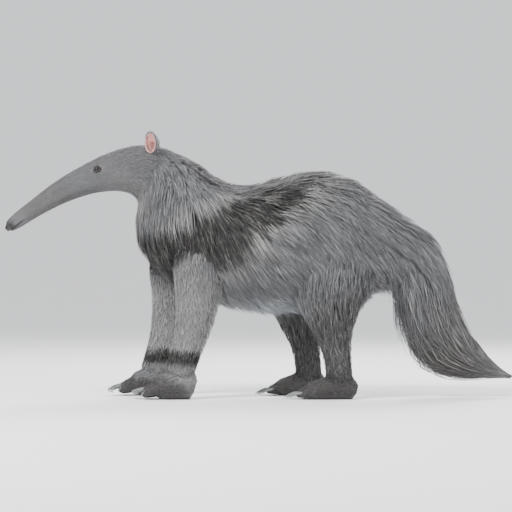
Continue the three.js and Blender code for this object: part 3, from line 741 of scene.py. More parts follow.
def lidShell(sideName, side):
    # a ring round the almond of the eye: rolled rim, dome over the eyeball, creases, then down into the skin
    place, sides, soft = eyes[sideName], lids["sides"], lids["soft"]
    plain = plainSkin(place, side)
    turn = circle(sides) * side
    high = np.where(np.sin(turn) > 0, eye["upper"], eye["lower"])
    rim = np.stack([eye["halfLong"] * np.cos(turn), high * np.sin(turn) * np.abs(np.sin(turn)) ** 0.35], -1)
    outer = np.stack([eye["lidReach"] * np.cos(turn), eye["lidReach"] * eye["lidRound"] * np.sin(turn)], -1)
    isUpper = smoothStep(np.sin(turn), -0.2, 0.2)
    layers = []
    for w in lids["steps"]:
        a, b = (rim * (1 - w) + outer * w).T
        r = np.hypot(a, b)
        skinHeight = curvedTerms(a, b) @ plain
        ball = np.sqrt(np.maximum(place["radius"] ** 2 - np.minimum(r, place["radius"] * 0.98) ** 2, 0))
        dome = ball + eye["lid"] * min(1, 0.15 + w * 12)
        # the higher of skin and dome, with a soft change from one to the other
        height = 0.5 * (skinHeight + dome + np.sqrt((skinHeight - dome) ** 2 + soft**2)) - soft * 0.12
        height = skinHeight + (height - skinHeight) * (1 - smoothStep(w, 0.35, 0.95))
        for crease, depth, upper in lids["creases"]:
            height -= depth * hill(w, crease, 0.05) * (isUpper if upper else 1 - isUpper)
        height += lids["wrinkle"] * np.sin(turn * 13 + 5 * w) * hill(w, 0.5, 0.25)
        height -= lids["edge"] * smoothStep(w, 0.72, 1.0)
        layers.append((a, b, height))
    # the same way back, deep under the skin, which closes the ring
    for w in (1.0, 0.5, 0.0):
        a, b = (rim * (1 - w) + outer * w).T
        r = np.minimum(np.hypot(a, b), place["radius"] * 0.8)
        deep = np.sqrt((place["radius"] * 0.86) ** 2 - r**2)
        layers.append((a, b, np.minimum(deep, curvedTerms(a, b) @ plain - 0.003)))
    points = []
    for a, b, h in layers:
        ring = np.outer(a, place["along"]) + np.outer(b, place["up"]) + np.outer(h, place["out"])
        points.append(place["middle"] + ring)
    faces = []
    for r in range(len(layers)):
        for k in range(sides):
            i, j, n = r * sides, (r + 1) % len(layers) * sides, (k + 1) % sides
            faces.append((i + k, j + k, j + n, i + n))
    return meshPiece("lids" + sideName, np.vstack(points), faces)


def shapeNose(grid):
    # the slit of the mouth between two lips, and the nostrils
    d = headSkin
    normal = normalsOf(grid)
    _, along, left, back = noseAxis
    drop = (grid - noseTip) @ back + mouth["drop"]
    length = (grid - noseTip) @ along
    inLength = 1 - smoothStep(length, mouth["length"] - 0.012, mouth["length"])
    slit = hill(drop, 0, 0.0008) * d["slitDepth"]
    lips = hill(np.abs(drop), d["lipReach"], 0.0016) * d["lipHeight"]
    grid = grid + ((lips - slit) * inLength)[..., None] * normal
    for opening, inward in nostrils:
        away = grid - opening
        away = np.stack([away @ along, away @ left, away @ back], -1) / nostril["radii"]
        size = np.linalg.norm(away, axis=-1)
        grid = grid + ((1 - smoothStep(size, 0.5, 1.1)) * nostril["depth"])[..., None] * inward
        grid = grid - (hill(size, 1.35, 0.28) * nostril["rim"])[..., None] * inward
    return grid


grid = shapeNose(headRings())
for place in eyes.values():
    grid = sinkUnderLids(grid, place)
head = tube("headShell", grid)
print("head shell:", len(head.data.polygons), "faces")


# ears: a cup with a rolled rim and low folds inside
def earNarrow(v):
    # the ear is narrower towards its foot
    return 1 - 0.2 * (1 - v) / 2


def earShare(wide, tall):
    # lengths across and up the ear as shares of its half size
    v = tall / (ear["tall"] / 2)
    return wide / (ear["wide"] / 2 * earNarrow(np.clip(v, -1, 1))), v


def earBow(size):
    # how far the back of the cup bulges
    return np.sqrt(np.maximum(1 - size**2, 0)) * ear["deep"] - 0.003


def earPoint(place, u, v, depth):
    # u and v are shares of the half width and the half height, and depth goes out of the ear's back
    wide = u * earNarrow(v) * ear["wide"] / 2
    tall = v * ear["tall"] / 2
    amounts = ((wide, "wide"), (tall, "tall"), (depth, "deep"))
    return place["middle"] + sum(np.asarray(amount)[..., None] * place[way] for amount, way in amounts)


def earShell(sideName):
    place = ears[sideName]
    rings, turn = 17, circle(48)
    layers = []
    # from the middle of the back out to the rim, and in again to the middle of the hollow
    for share in np.linspace(0.05, 1, rings):
        wave = 0.0016 * np.sin(turn * 2 + 0.4) * share**3
        layers.append(earPoint(place, np.sin(turn) * share, np.cos(turn) * share, earBow(share) + wave))
    for share in np.linspace(0.98, 0.03, rings):
        wave = 0.0016 * np.sin(turn * 2 + 0.4) * share**3
        ridge = 0.0022 * hill(share, 0.62, 0.13) * smoothStep(np.cos(turn - 0.6), -0.2, 0.9)
        fold = 0.0012 * np.sin(turn * 3 + 0.7) * share * (1 - share) * 4
        depth = earBow(share) - ear["wall"] * (1 + 0.4 * share) + fold + wave - ridge
        layers.append(earPoint(place, np.sin(turn) * share * 0.93, np.cos(turn) * share * 0.95, depth))
    return tube("earShell" + sideName, np.array(layers))


# body and limbs
trunkForm = dict(rings=150, sides=72, start=7.75, end=20.9)
legForm = dict(rings=46, sides=40)
# the station where a foot's own form starts, the tips of its toes, the roots of its claws, how far it stands
# from the middle, and each toe's place across it with its half width
feet = dict(
    fore=dict(
        start=1.45, toeX=-0.326, clawX=-0.314, apart=stanceFore,
        toes=[(-0.028, 0.0105), (-0.011, 0.0135), (0.0115, 0.0155), (0.033, 0.011)],
    ),
    hind=dict(
        start=1.2, toeX=0.111, clawX=0.124, apart=stanceHind,
        toes=[(across, 0.0088) for across in (-0.03, -0.0155, 0, 0.015, 0.028)],
    ),
)


def trunkShell():
    d = trunkForm
    t = np.linspace(d["start"], d["end"], d["rings"])
    angle = np.linspace(0, 2 * halfTurn, d["sides"], endpoint=False)
    rings = placeOn(trunk, t[:, None], angle[None, :], 0.04)[0]
    centres = sectionAt(trunk, t)[0][:, None]
    shrink = 1 - 0.06 * smoothStep(-t, -8.3, -d["start"])  # at the neck, inside the head's skin
    return tube("trunkShell", centres + (rings - centres) * shrink[:, None, None])


def bodyTube(body, low, high, rings, sides, ends):
    # a length of a limb that keeps two shares of its size at its ends, so that lengths slip into each other
    t = np.linspace(low, high, rings)
    angle = np.linspace(0, 2 * halfTurn, sides, endpoint=False)
    centres = sectionAt(body, t)[0][:, None]
    grid = placeOn(body, t[:, None], angle[None, :], 0.0)[0]
    scale = 1 - (1 - ends[0]) * (1 - smoothStep(t, low, low + 0.5))
    scale = scale - (1 - ends[1]) * smoothStep(t, high - 0.4, high)
    return tube("part", centres + (grid - centres) * scale[:, None, None])


def toeForm(start, end, halfWide, halfTall):
    # a toe that runs from the foot to its tip, thickest at the knuckle
    rings, turn = 12, circle(20)
    share = np.linspace(0, 1, rings)[:, None]
    centre = np.array(start) + (np.array(end) - np.array(start)) * share
    rounded = np.sqrt(1 - np.clip(np.abs(share * 2 - 1) ** 3.5, 0, 0.985))
    knuckle = 1 + 0.14 * hill(share, 0.5, 0.16)
    wide = halfWide * rounded * np.sin(turn)
    tall = halfTall * rounded * knuckle * np.cos(turn)
    return tube("part", np.stack([centre[:, :1] + 0 * wide, centre[:, 1:2] + wide, centre[:, 2:] + tall], -1))


def footShell(kind, sideName, side, ahead):
    # the end of the leg, the foot and its toes, blended into one form
    leg, foot, d = legs[kind + "leg" + sideName], legs[kind + "foot" + sideName], feet[kind]
    parts = [bodyTube(leg, leg["last"] - 1.2, leg["last"], 24, 48, (0.94, 1.0))]
    parts.append(bodyTube(foot, d["start"], foot["last"], 50, 48, (0.62, 1.0)))
    for across, half in d["toes"]:
        y = side * (d["apart"] + across)
        if kind == "fore":
            x = d["toeX"] - ahead + abs(across) * 0.3
            root, tip, halfTall = (x + 0.082, y - side * across * 0.12, 0.043), (x, y, 0.0165), half * 1.3
        else:
            x = d["toeX"] - ahead + abs(across) * 0.5
            root, tip, halfTall = (x + 0.062, y, 0.03), (x, y, 0.0115), 0.0135
        parts.append(toeForm(root, tip, half, halfTall))
    foot = joined("foot", [turnedOut(part) for part in parts])
    remesh = foot.modifiers.new("blend", "REMESH")
    remesh.mode = "VOXEL"
    remesh.voxel_size = 0.003
    soften = foot.modifiers.new("soften", "SMOOTH")
    soften.iterations = 4
    soften.factor = 0.5
    foot = baked(foot, "foot")
    co = coordinates(foot)
    co[:, 2] = np.maximum(co[:, 2], 0.0)  # soles lie flat
    foot.data.vertices.foreach_set("co", co.ravel())
    foot.data.update()
    return foot


# the union: one skin for the whole animal
parts = [head, trunkShell()]
for sideName, side, aheadFore, aheadHind in bothSides:
    for kind, ahead in (("fore", aheadFore), ("hind", aheadHind)):
        leg = legs[kind + "leg" + sideName]
        parts.append(bodyTube(leg, 0, leg["last"] - 0.5, legForm["rings"], legForm["sides"], (1.0, 0.9)))
        parts.append(footShell(kind, sideName, side, ahead))
    parts += [earShell(sideName), lidShell(sideName, side)]
skin = turnedOut(parts[0])
for part in map(turnedOut, parts[1:]):
    fuse = skin.modifiers.new("fuse", "BOOLEAN")
    fuse.operation = "UNION"
    fuse.solver = "MANIFOLD"
    fuse.object = part
skin = baked(skin, "skin")
for part in parts[1:]:
    bpy.data.objects.remove(part)
skin.data.polygons.foreach_set("use_smooth", [True] * len(skin.data.polygons))
skin.data.materials.clear()
print("skin:", len(skin.data.vertices), "points", len(skin.data.polygons), "faces")

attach(skin, "root")
fleshNodes = [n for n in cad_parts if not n.startswith(("eye_", "foreclaw_", "hindclaw_"))]
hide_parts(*fleshNodes)


def unrolled(body, points):
    # for points near a body's surface: station, angle, the body's half height there, how far off they are
    rough = np.linspace(0, body["last"], 80)
    spine = sectionAt(body, rough)[0]
    speed = np.linalg.norm(np.gradient(spine, rough, axis=0), axis=1)
    # the nearest rough station first, in blocks that fit in memory, then four steps nearer
    t = np.concatenate([
        rough[np.argmin(((block[:, None] - spine[None]) ** 2).sum(-1), axis=1)]
        for block in np.array_split(points, 12)
    ])
    for _ in range(4):
        centre, along, left, back = sectionAt(body, t)
        beyond = ((points - centre) * along).sum(-1)
        t = np.clip(t + 0.8 * beyond / np.interp(t, rough, speed), 0, body["last"])
    away = points - sectionAt(body, t)[0]
    flesh = curveThrough(body["flesh"], t)
    up, across = (away * back).sum(-1), (away * left).sum(-1)
    over = np.where(up > 0, flesh[:, 0], flesh[:, 1])
    miss = np.abs(np.hypot(up / over, across / flesh[:, 2]) - 1) * over + np.abs(beyond)
    return np.stack([t, np.arctan2(across, up), over, miss], -1)


def bareness(co, normal):
    # 1 where there is no hair, on nose, lips and soles and round the eyes, and up to 2 in the nostrils, whose
    # insides the skin paints near black as painted shade
    bare = 1 - smoothStep(np.linalg.norm(co - noseTip, axis=1), 0.012, 0.03)
    for place in eyes.values():
        a, b, h = fromEye(place, co)
        r = np.hypot(a, b * 1.15)
        bare = np.maximum(bare, (1 - smoothStep(r, 0.0115, 0.017)) * (h > -0.002))
    _, along, _, back = noseAxis
    drop = (co - noseTip) @ back + mouth["drop"]
    length = (co - noseTip) @ along
    lips = 1 - smoothStep(length, mouth["length"] - 0.01, mouth["length"] + 0.006)
    bare = np.maximum(bare, hill(drop, 0, 0.0028) * lips)
    bare = np.maximum(bare, smoothStep(-normal[:, 2], 0.5, 0.9) * (co[:, 2] < 0.012))
    # the nostrils' insides, which the skin paints near black: painted shade in the holes
    for opening, inward in nostrils:
        away = co - opening
        depth = np.clip(away @ inward, 0.0012, 0.012)
        bare = bare + 1 - smoothStep(np.linalg.norm(away - depth[:, None] * inward, axis=1), 0.0034, 0.005)
    return bare


def earHollow(co):
    # the pink inside of each ear: 1 at the rim and up to 2 in the deep of the cup, where the skin darkens the
    # pink as painted shade
    hollow = np.zeros(len(co))
    for place in ears.values():
        away = co - place["middle"]
        u, v = earShare(away @ place["wide"], away @ place["tall"])
        size = np.hypot(u, v)
        depth = away @ place["deep"] - earBow(size)
        inside = smoothStep(-depth, ear["wall"] * 0.35, ear["wall"] * 0.7)
        # deeper in the cup the pink is darkened: painted shade in the hollow
        deep = 1 + smoothStep(-np.hypot(u * 1.1, v + 0.25), -0.75, -0.1)
        hollow = np.maximum(hollow, inside * deep * (size < 0.97) * (np.abs(depth) < 0.012))
    return hollow


def markSkin():
    # what the materials read: place, lie of the hair, bare patches, and a map with a chart for each limb
    co = coordinates(skin)
    normal = np.empty(len(co) * 3)
    skin.data.vertices.foreach_get("normal", normal)
    normal = normal.reshape(-1, 3)
    best = np.full(len(co), 1e9)
    owner = np.zeros(len(co), int)
    lie = np.zeros((len(co), 3))
    charts = []
    for index, body in enumerate([trunk] + list(legs.values())):
        t, angle, over, miss = unrolled(body, co).T
        closer = miss < best
        best = np.where(closer, miss, best)
        owner[closer] = index
        lie[closer] = np.stack([t * 0.08, angle * over, 0 * t + index], -1)[closer]
        # the trunk has the lower part of the map, and the legs and feet stand side by side over it
        share = np.stack([t / body["last"], angle / (2 * halfTurn) + 0.5], -1)
        low, size = ((0.0, 0.0), (1.0, 0.6)) if index == 0 else (((index - 1) / 8, 0.62), (0.12, 0.37))
        charts.append((share, np.array(low), np.array(size)))
    addAttribute(skin.data, "rootPlace", canonical(co))
    addAttribute(skin.data, "lie", lie)
    addAttribute(skin.data, "bareSkin", bareness(co, normal))
    addAttribute(skin.data, "inEar", earHollow(co))
    corners = np.empty(len(skin.data.loops), np.int32)
    skin.data.loops.foreach_get("vertex_index", corners)
    starts = np.empty(len(skin.data.polygons), np.int32)
    skin.data.polygons.foreach_get("loop_start", starts)
    face = np.searchsorted(starts, np.arange(len(corners)), side="right") - 1
    faceOwner = owner[corners[starts]][face]
    uv = np.zeros((len(corners), 2))
    for index, (share, low, size) in enumerate(charts):
        here = faceOwner == index
        place = share[corners[here]]
        # a face over the seam stays on one side of the chart
        first = share[corners[starts[face[here]]], 1]
        place[:, 1] += np.round(first - place[:, 1])
        uv[here] = low + place.clip(0.002, 0.998) * size
    layer = skin.data.uv_layers.new(name="OFBake")
    layer.data.foreach_set("uv", uv.ravel())


markSkin()
skin.data.materials.append(skinMaterial())
print("skin marked")


# eyes and claws stay pieces of their own
def makeEye(sideName):
    place = eyes[sideName]
    sides = 40
    bends = np.linspace(0.04, halfTurn - 0.04, 26)  # angles from the pupil
    flat = np.outer(np.cos(circle(sides)), place["up"]) + np.outer(np.sin(circle(sides)), place["along"])
    layers = []
    for bend in bends:
        bulge = 1 + 0.035 * hill(bend, 0, 0.6)
        way = place["out"] * math.cos(bend) + flat * math.sin(bend)
        layers.append(place["middle"] + way * place["radius"] * bulge)
    ball = tube("eye" + sideName, np.array(layers))
    addAttribute(ball.data, "fromPupil", np.append(np.repeat(bends, sides), [0, halfTurn]))
    addAttribute(ball.data, "rootPlace", coordinates(ball))
    ball.data.materials.append(wetEye)
    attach(ball, "root")
    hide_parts("eye_" + sideName.lower())


foreClaws = [  # across the foot, radius and turn of the curl, width, height, height of root and tip
    (-0.028, 0.014, 1.5, 0.008, 0.008, 0.025, 0.01),
    (-0.012, 0.027, 2.3, 0.013, 0.013, 0.027, 0.01),
    (0.009, 0.036, 2.5, 0.017, 0.016, 0.028, 0.011),
    (0.03, 0.017, 1.4, 0.009, 0.009, 0.024, 0.009),
]
hindClaw = dict(
    width=0.0095, height=0.01, reach=0.047,
    line=((0, 0.018), (0.35, 0.017), (0.7, 0.0115), (1, 0.003)),  # share of the reach, height
)


def clawPaths(kind, side, ahead):
    # the line of each claw from its root to its tip, with its width and height
    d = feet[kind]
    apart, rootX = d["apart"], d["clawX"] - ahead
    paths = []
    if kind == "fore":
        for across, radius, turn, width, height, rootZ, tipZ in foreClaws:
            x = rootX + abs(across) * 0.25
            path = [(x + 0.014, side * (apart + across), rootZ)]
            for share in np.linspace(0, 1, 5):
                y = side * (apart + across - radius * (1 - math.cos(share * turn)))
                path.append((x - radius * math.sin(share * turn), y, rootZ + (tipZ - rootZ) * share))
            paths.append((path, width, height))
    else:
        for across, _ in d["toes"]:
            x, y = rootX + abs(across) * 0.5, side * (apart + across)
            path = [(x - hindClaw["reach"] * far, y, z) for far, z in hindClaw["line"]]
            paths.append((path, hindClaw["width"], hindClaw["height"]))
    return paths


def clawRings(path, width, height):
    # rings along a claw, and the share of its length at each
    t = np.linspace(0, len(path) - 1, 30)
    centre = curveThrough(np.array(path), t)
    along = unit(np.gradient(centre, axis=0))
    across = unit(np.cross(along, (0.0, 0.0, 1.0)))
    over = np.cross(across, along)
    share = np.linspace(0, 0.985, len(t))
    taper = (1 - share) ** 0.7
    turn = circle(20)
    # a ridge along the top and a shallow groove beneath
    form = 1 + 0.08 * np.maximum(np.cos(turn), 0) ** 6 - 0.16 * np.maximum(-np.cos(turn), 0) ** 4
    rings = centre[:, None] + across[:, None] * (width / 2 * taper[:, None] * np.sin(turn) * form)[..., None]
    return rings + over[:, None] * (height / 2 * taper[:, None] * np.cos(turn) * form)[..., None], share


def makeClaws(kind, sideName, side, ahead):
    made, shares, lies, nodes = [], [], [], []
    for path, width, height in clawPaths(kind, side, ahead):
        rings, share = clawRings(path, width, height)
        made.append(tube("claw", rings))
        nodes.append(f"{kind}claw_{sideName.lower()}_{len(made)}")
        length = share * np.linalg.norm(np.diff(np.array(path), axis=0), axis=1).sum()
        count = rings.shape[1]
        around = np.sin(np.arange(count) * halfTurn / count) * width * 2
        shares += list(np.repeat(share, count)) + [0, 1]
        lies += [(l, a, 0.01 * len(made)) for l in length for a in around]
        lies += [(0, 0, 0), (length[-1], 0, 0)]
    piece = joined(f"{kind}Claws{sideName}", made)
    addAttribute(piece.data, "alongHair", shares)
    addAttribute(piece.data, "lie", lies)
    piece.data.materials.append(horn)
    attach(piece, "root")
    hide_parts(*nodes)


for sideName, side, aheadFore, aheadHind in bothSides:
    makeEye(sideName)
    makeClaws("fore", sideName, side, aheadFore)
    makeClaws("hind", sideName, side, aheadHind)
print("eyes and claws made")


# the coat: tapered tufts with three sides that rise from the skin and lie back along the body
def insideBody(body, points, margin):
    # which of the points lie in the flesh of that body, made thicker by the margin
    t = np.linspace(0, body["last"], 90)
    centre, along, left, back = sectionAt(body, t)
    flesh = curveThrough(body["flesh"], t)
    away = points[:, None] - centre[None]
    nearest = np.argmin((away**2).sum(-1), axis=1)
    away = away[np.arange(len(points)), nearest]
    up = (away * back[nearest]).sum(-1)
    over = np.where(up > 0, flesh[nearest, 0], flesh[nearest, 1]) + margin
    across = (away * left[nearest]).sum(-1) / (flesh[nearest, 2] + margin)
    beyond = np.abs((away * along[nearest]).sum(-1))
    return ((up / over) ** 2 + across**2 < 1) & (beyond < 0.02)


def scattered(body, d):
    # roots spread by area over a stretch of the body, as stations and angles, with more where it is dense
    edgesT = np.linspace(*d["stations"], 221)
    edgesA = np.linspace(*d["arc"], 161)
    t, angle = (edgesT[1:] + edgesT[:-1]) / 2, (edgesA[1:] + edgesA[:-1]) / 2
    t, angle = np.meshgrid(t, angle, indexing="ij")
    perStation, perRadian = spansOn(body, t, angle)
    weight = perStation * perRadian * np.interp(t, *zip(*d.get("dense", [(0, 1)])))
    ladder = np.cumsum(weight.ravel())
    count = d["count"]
    picks = np.searchsorted(ladder, (np.arange(count) + dice.random(count)) / count * ladder[-1])
    picks = np.minimum(picks, weight.size - 1)
    t = t.ravel()[picks] + (dice.random(count) - 0.5) * (edgesT[1] - edgesT[0])
    angle = angle.ravel()[picks] + (dice.random(count) - 0.5) * (edgesA[1] - edgesA[0])
    return t, angle


def leanToClumps(a, b, size, seed):
    # the way from each root to the middle of its clump, on the unrolled skin, and a number of the clump's own
    cellA, cellB = np.floor(a / size), np.floor(b / size)
    best = np.full(len(a), 1e9)
    leanA, leanB, pick = np.zeros_like(a), np.zeros_like(a), np.zeros_like(a)
    for stepA in (-1, 0, 1):
        for stepB in (-1, 0, 1):
            i, j = cellA + stepA, cellB + stepB
            # two numbers that look random but are always the same for a cell
            first = np.sin(i * 127.1 + j * 311.7 + seed) * 43758.5453
            second = np.sin(i * 269.5 + j * 183.3 + seed * 1.7) * 24634.6345
            middleA = (i + first - np.floor(first)) * size
            middleB = (j + second - np.floor(second)) * size
            gap = np.hypot(middleA - a, middleB - b)
            closer = gap < best
            best = np.where(closer, gap, best)
            leanA = np.where(closer, middleA - a, leanA)
            leanB = np.where(closer, middleB - b, leanB)
            pick = np.where(closer, first - np.floor(first), pick)
    return leanA, leanB, pick


def tuftPaths(body, t, angle, d):
    # the line that each tuft follows, and its sideways direction
    count, steps = len(t), d["rings"] + 1
    perStation, perRadian = spansOn(body, t, angle)
    length = np.interp(t, *zip(*d["length"])) * (1 + 0.25 * (dice.random(count) * 2 - 1))
    a, b = t * np.median(perStation), angle * np.median(perRadian)
    leanA, leanB, clump = leanToClumps(a, b, d["clump"][0], d.get("seed", 3.0))
    leanA = leanA / np.maximum(perStation, 0.01)
    leanB = leanB / np.maximum(perRadian, 0.008)
    reach = np.minimum(length / np.maximum(perStation, 0.01), d.get("mostReach", 3.2))
    sway = np.sin(angle) * d.get("sway", 0.0) + (dice.random(count) - 0.5) * d.get("scatter", 0.12)
    low, high = d["tip"]
    tip = low + (high - low) * (0.55 * dice.random(count) + 0.45 * clump)
    low, high = d.get("lift", (1.5, 3.0))
    lift = low + (high - low) * dice.random(count)
    s = np.linspace(0, 1, steps)[None, :]
    draw = d["clump"][1] * s**1.5
    curl = (dice.random(count)[:, None] - 0.5) * d.get("curl", 0.1) * s**2
    pathT = t[:, None] + reach[:, None] * s + leanA[:, None] * draw
    pathAngle = angle[:, None] + sway[:, None] * s + leanB[:, None] * draw + curl
    share = tip[:, None] * (1 - (1 - s) ** lift[:, None])
    points, out = placeOn(body, pathT, pathAngle, share)
    points = points - out * 0.001 * (1 - s)[..., None] ** 4  # roots start just under the skin
    # past the last station tufts run on straight
    beyond = np.maximum(pathT - body["last"], 0)[..., None]
    onward = sectionAt(body, np.full(count, float(body["last"])))[1]
    points = points + onward[:, None] * beyond * d.get("past", 0.0)
    hang = d.get("hang", 0.0) * (dice.random(count) * 0.6 + 0.7)
    points[..., 2] -= hang[:, None] * s**2
    points[..., 2] = np.maximum(points[..., 2], 0.004)
    return points, unit(np.cross(sectionAt(body, pathT)[1], out))


def tuftMesh(name, points, side, d, places):
    # tufts as one mesh, each closed, with the root's place, the share of its length and a draw of its own
    count, steps = points.shape[:2]
    rings, turn = steps - 1, circle(3)
    tangent = unit(np.gradient(points, axis=1))
    side = unit(side - tangent * (side * tangent).sum(-1, keepdims=True))
    over = np.cross(side, tangent)
    twist = (dice.random(count) - 0.5)[:, None, None] * 1.2
    side, over = side * np.cos(twist) + over * np.sin(twist), over * np.cos(twist) - side * np.sin(twist)
    s = np.linspace(0, 1, steps)
    profile = (0.55 + 0.9 * s - 1.45 * s**2.2)[:rings]
    width = d["width"] * (0.7 + 0.6 * dice.random(count))
    wide = (width[:, None] * profile)[:, :, None, None] * np.sin(turn)[:, None]
    thick = (width[:, None] * profile * 0.5)[:, :, None, None] * np.cos(turn)[:, None]
    ring = points[:, :rings, None] + (side[:, :rings, None] * wide + over[:, :rings, None] * thick) / 2
    perTuft = rings * 3 + 1
    co = np.concatenate([ring.reshape(count, rings * 3, 3), points[:, -1:]], axis=1)
    # the faces of one tuft: its foot, its sides and its tip
    corners, starts, total = [], [], 0
    pattern = [(0, 2, 1)]
    for r in range(rings):
        for k in range(3):
            here, beside = r * 3 + k, r * 3 + (k + 1) % 3
            ahead = (beside + 3, here + 3) if r < rings - 1 else (rings * 3,)
            pattern.append((here, beside) + ahead)
    for face in pattern:
        starts.append(total)
        total += len(face)
        corners += face
    base = np.arange(count)
    corners = (np.array(corners)[None] + base[:, None] * perTuft).ravel()
    starts = (np.array(starts)[None] + base[:, None] * total).ravel()
    mesh = bpy.data.meshes.new(name)
    mesh.vertices.add(count * perTuft)
    mesh.vertices.foreach_set("co", co.ravel())
    mesh.loops.add(len(corners))
    mesh.loops.foreach_set("vertex_index", corners.astype(np.int32))
    mesh.polygons.add(len(starts))
    mesh.polygons.foreach_set("loop_start", starts.astype(np.int32))
    mesh.polygons.foreach_set("use_smooth", [True] * len(starts))
    alongShare = np.append(np.repeat(s[:rings], 3), 1.0)
    addAttribute(mesh, "rootPlace", np.repeat(canonical(points[:, 0]), perTuft, axis=0))
    addAttribute(mesh, "alongHair", np.tile(alongShare, count))
    addAttribute(mesh, "hairSeed", np.repeat(dice.random(count), perTuft))
    patch = 0.003  # the room of a tuft in the map
    acrossShare = np.append(np.tile([0.5, 1.0, 0.0], rings), 0.5)
    uv = np.stack([
        np.repeat(places[:, 0], perTuft) + np.tile((acrossShare - 0.5) * patch, count),
        np.repeat(places[:, 1], perTuft) + np.tile((alongShare - 0.5) * patch, count),
    ], -1)
    layer = mesh.uv_layers.new(name="OFBake")
    layer.data.foreach_set("uv", np.clip(uv, 0.0005, 0.9995)[corners].ravel())
    mesh.update(calc_edges=True)
    piece = bpy.data.objects.new(name, mesh)
    bpy.context.scene.collection.objects.link(piece)
    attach(piece, "root")
    print(name, count, "tufts", len(starts) * 2 - count * 4, "triangles")
    return piece


def eyeClear(points):
    # true for tufts that keep off the eyes
    clear = np.ones(len(points), bool)
    for place in eyes.values():
        a, b, h = fromEye(place, points)
        clear &= ~((np.hypot(a / 0.012, b / 0.0095) < 1) & (h > -0.004)).any(axis=1)
    return clear


skinFaces = [tuple(p.vertices) for p in skin.data.polygons]
skinTree = BVHTree.FromPolygons([tuple(c) for c in coordinates(skin)], skinFaces)


def ontoSkin(points, rise):
    # moves each tuft onto the skin as it was built, rising by the given height to its tip
    steps = points.shape[1]
    result = np.empty_like(points)
    for i, tuft in enumerate(points):
        for k, point in enumerate(tuft):
            place, normal = skinTree.find_nearest(point)[:2]
            result[i, k] = place + normal * (rise * (k / (steps - 1)) ** 0.7 - 0.0004)
    result[..., 2] = np.maximum(result[..., 2], 0.001)
    return result


def growCoat(name, d):
    body = d["body"]
    t, angle = scattered(body, d)
    points, side = tuftPaths(body, t, angle, d)
    if "rise" in d:
        points = ontoSkin(points, d["rise"])
    keep = np.ones(len(t), bool)
    for other in d.get("hiddenIn", ()):
        keep &= ~insideBody(other, points[:, 0], -0.004)
    if "keep" in d:
        keep &= d["keep"](points)
    t, angle, points, side = t[keep], angle[keep], points[keep], side[keep]
    low, high = d["stations"]
    first, last = d["arc"]
    places = np.stack([(t - low) / (high - low), (angle - first) / (last - first)], -1)
    piece = tuftMesh(name, points, side, d, 0.02 + 0.96 * places)
    piece.data.materials.append(hairMaterials[d.get("slot", "coat")])


def growEarHair(name, d):
    # short hair over the back of both ears and past the rim, and a few long hairs across the opening
    points, places, sides = [], [], []
    for place in ears.values():
        for count, low, high, length, inner in d["parts"]:
            turn = dice.random(count) * 2 * halfTurn
            size = np.sqrt(low**2 + (high**2 - low**2) * dice.random(count))
            if inner:
                turn = halfTurn + (dice.random(count) - 0.5) * 4.2
            s = np.linspace(0, 1, d["rings"] + 1)[None]
            u, v = (np.sin(turn) * size)[:, None], (np.cos(turn) * size)[:, None]
            step = (length * (0.7 + 0.6 * dice.random(count)))[:, None] * s / (ear["tall"] / 2)
            way = (dice.random(count)[:, None] - 0.5) * 0.5
            if inner:
                u, v = u * (1 - step * 0.6), v + step * 0.9
                depth = earBow(size)[:, None] * (1 - s) - 0.006 * s - ear["wall"] * 1.2
            else:
                u, v = u * (1 + step * 0.2) + way * step, v + step
                depth = earBow(np.minimum(np.hypot(u, v), 1)) + 0.0018 * np.sin(s * 2.2) - 0.0004 * (1 - s)
            path = earPoint(place, u, v, depth)
            points.append(path)
            sides.append(np.broadcast_to(place["wide"], path.shape))
            places.append(np.stack([0.5 + np.sin(turn) * size * 0.45, 0.5 + np.cos(turn) * size * 0.45], -1))
    piece = tuftMesh(name, np.concatenate(points), np.concatenate(sides), d, np.concatenate(places))
    piece.data.materials.append(hairMaterials["ear"])


earHair = dict(
    rings=2, width=0.0011,
    # count, innermost and outermost share of the ear, length, whether it grows inside
    parts=[(900, 0.05, 0.99, 0.008, False), (420, 0.93, 1.0, 0.009, False), (110, 0.72, 0.95, 0.015, True)],
)
allLegs = list(legs.values())
coat = {}
coat["coatSnout"] = dict(
    body=trunk, stations=(0.62, 5.5), arc=(-halfTurn, halfTurn), count=10500, rings=2, slot="face",
    length=[(0.6, 0.003), (2, 0.006), (4, 0.0085), (5.5, 0.011)], mostReach=0.8, seed=2.0,
    width=0.00095, tip=(0.35, 0.95), clump=(0.01, 0.25), scatter=0.2, keep=eyeClear,
    dense=[(0.6, 1.6), (3, 1.3), (4.2, 1.0), (5.5, 0.15)],
)
coat["coatHead"] = dict(
    body=trunk, stations=(3.4, 7.75), arc=(-halfTurn, halfTurn), count=10800, rings=2, slot="face",
    length=[(3.4, 0.008), (5.5, 0.013), (7, 0.024), (7.75, 0.036)], mostReach=0.8,
    width=0.0012, tip=(0.4, 1.05), clump=(0.012, 0.3), scatter=0.25, keep=eyeClear,
    dense=[(3.4, 0.1), (5.2, 1.0), (7.75, 1.0)],
)
coat["coatNeck"] = dict(
    body=trunk, stations=(7.25, 9.7), arc=(-halfTurn, halfTurn), count=11500, rings=3,
    length=[(7.2, 0.034), (8, 0.05), (9, 0.066), (9.7, 0.072)], sway=0.35, hang=0.008,
    width=0.0029, tip=(0.45, 1.1), clump=(0.03, 0.5), hiddenIn=allLegs, mostReach=1.6,
)
for sideName, side, _, _ in bothSides:
    coat["coatFlank" + sideName] = dict(
        body=trunk, stations=(9.3, 15.6), arc=(-side * 0.3, -side * 2.65), count=11700, rings=3,
        length=[(9.3, 0.068), (11, 0.08), (13, 0.09), (15.6, 0.115)], sway=0.42, hang=0.012,
        width=0.0035, tip=(0.4, 1.08), clump=(0.038, 0.6), hiddenIn=allLegs, seed=5.0 - side,
    )
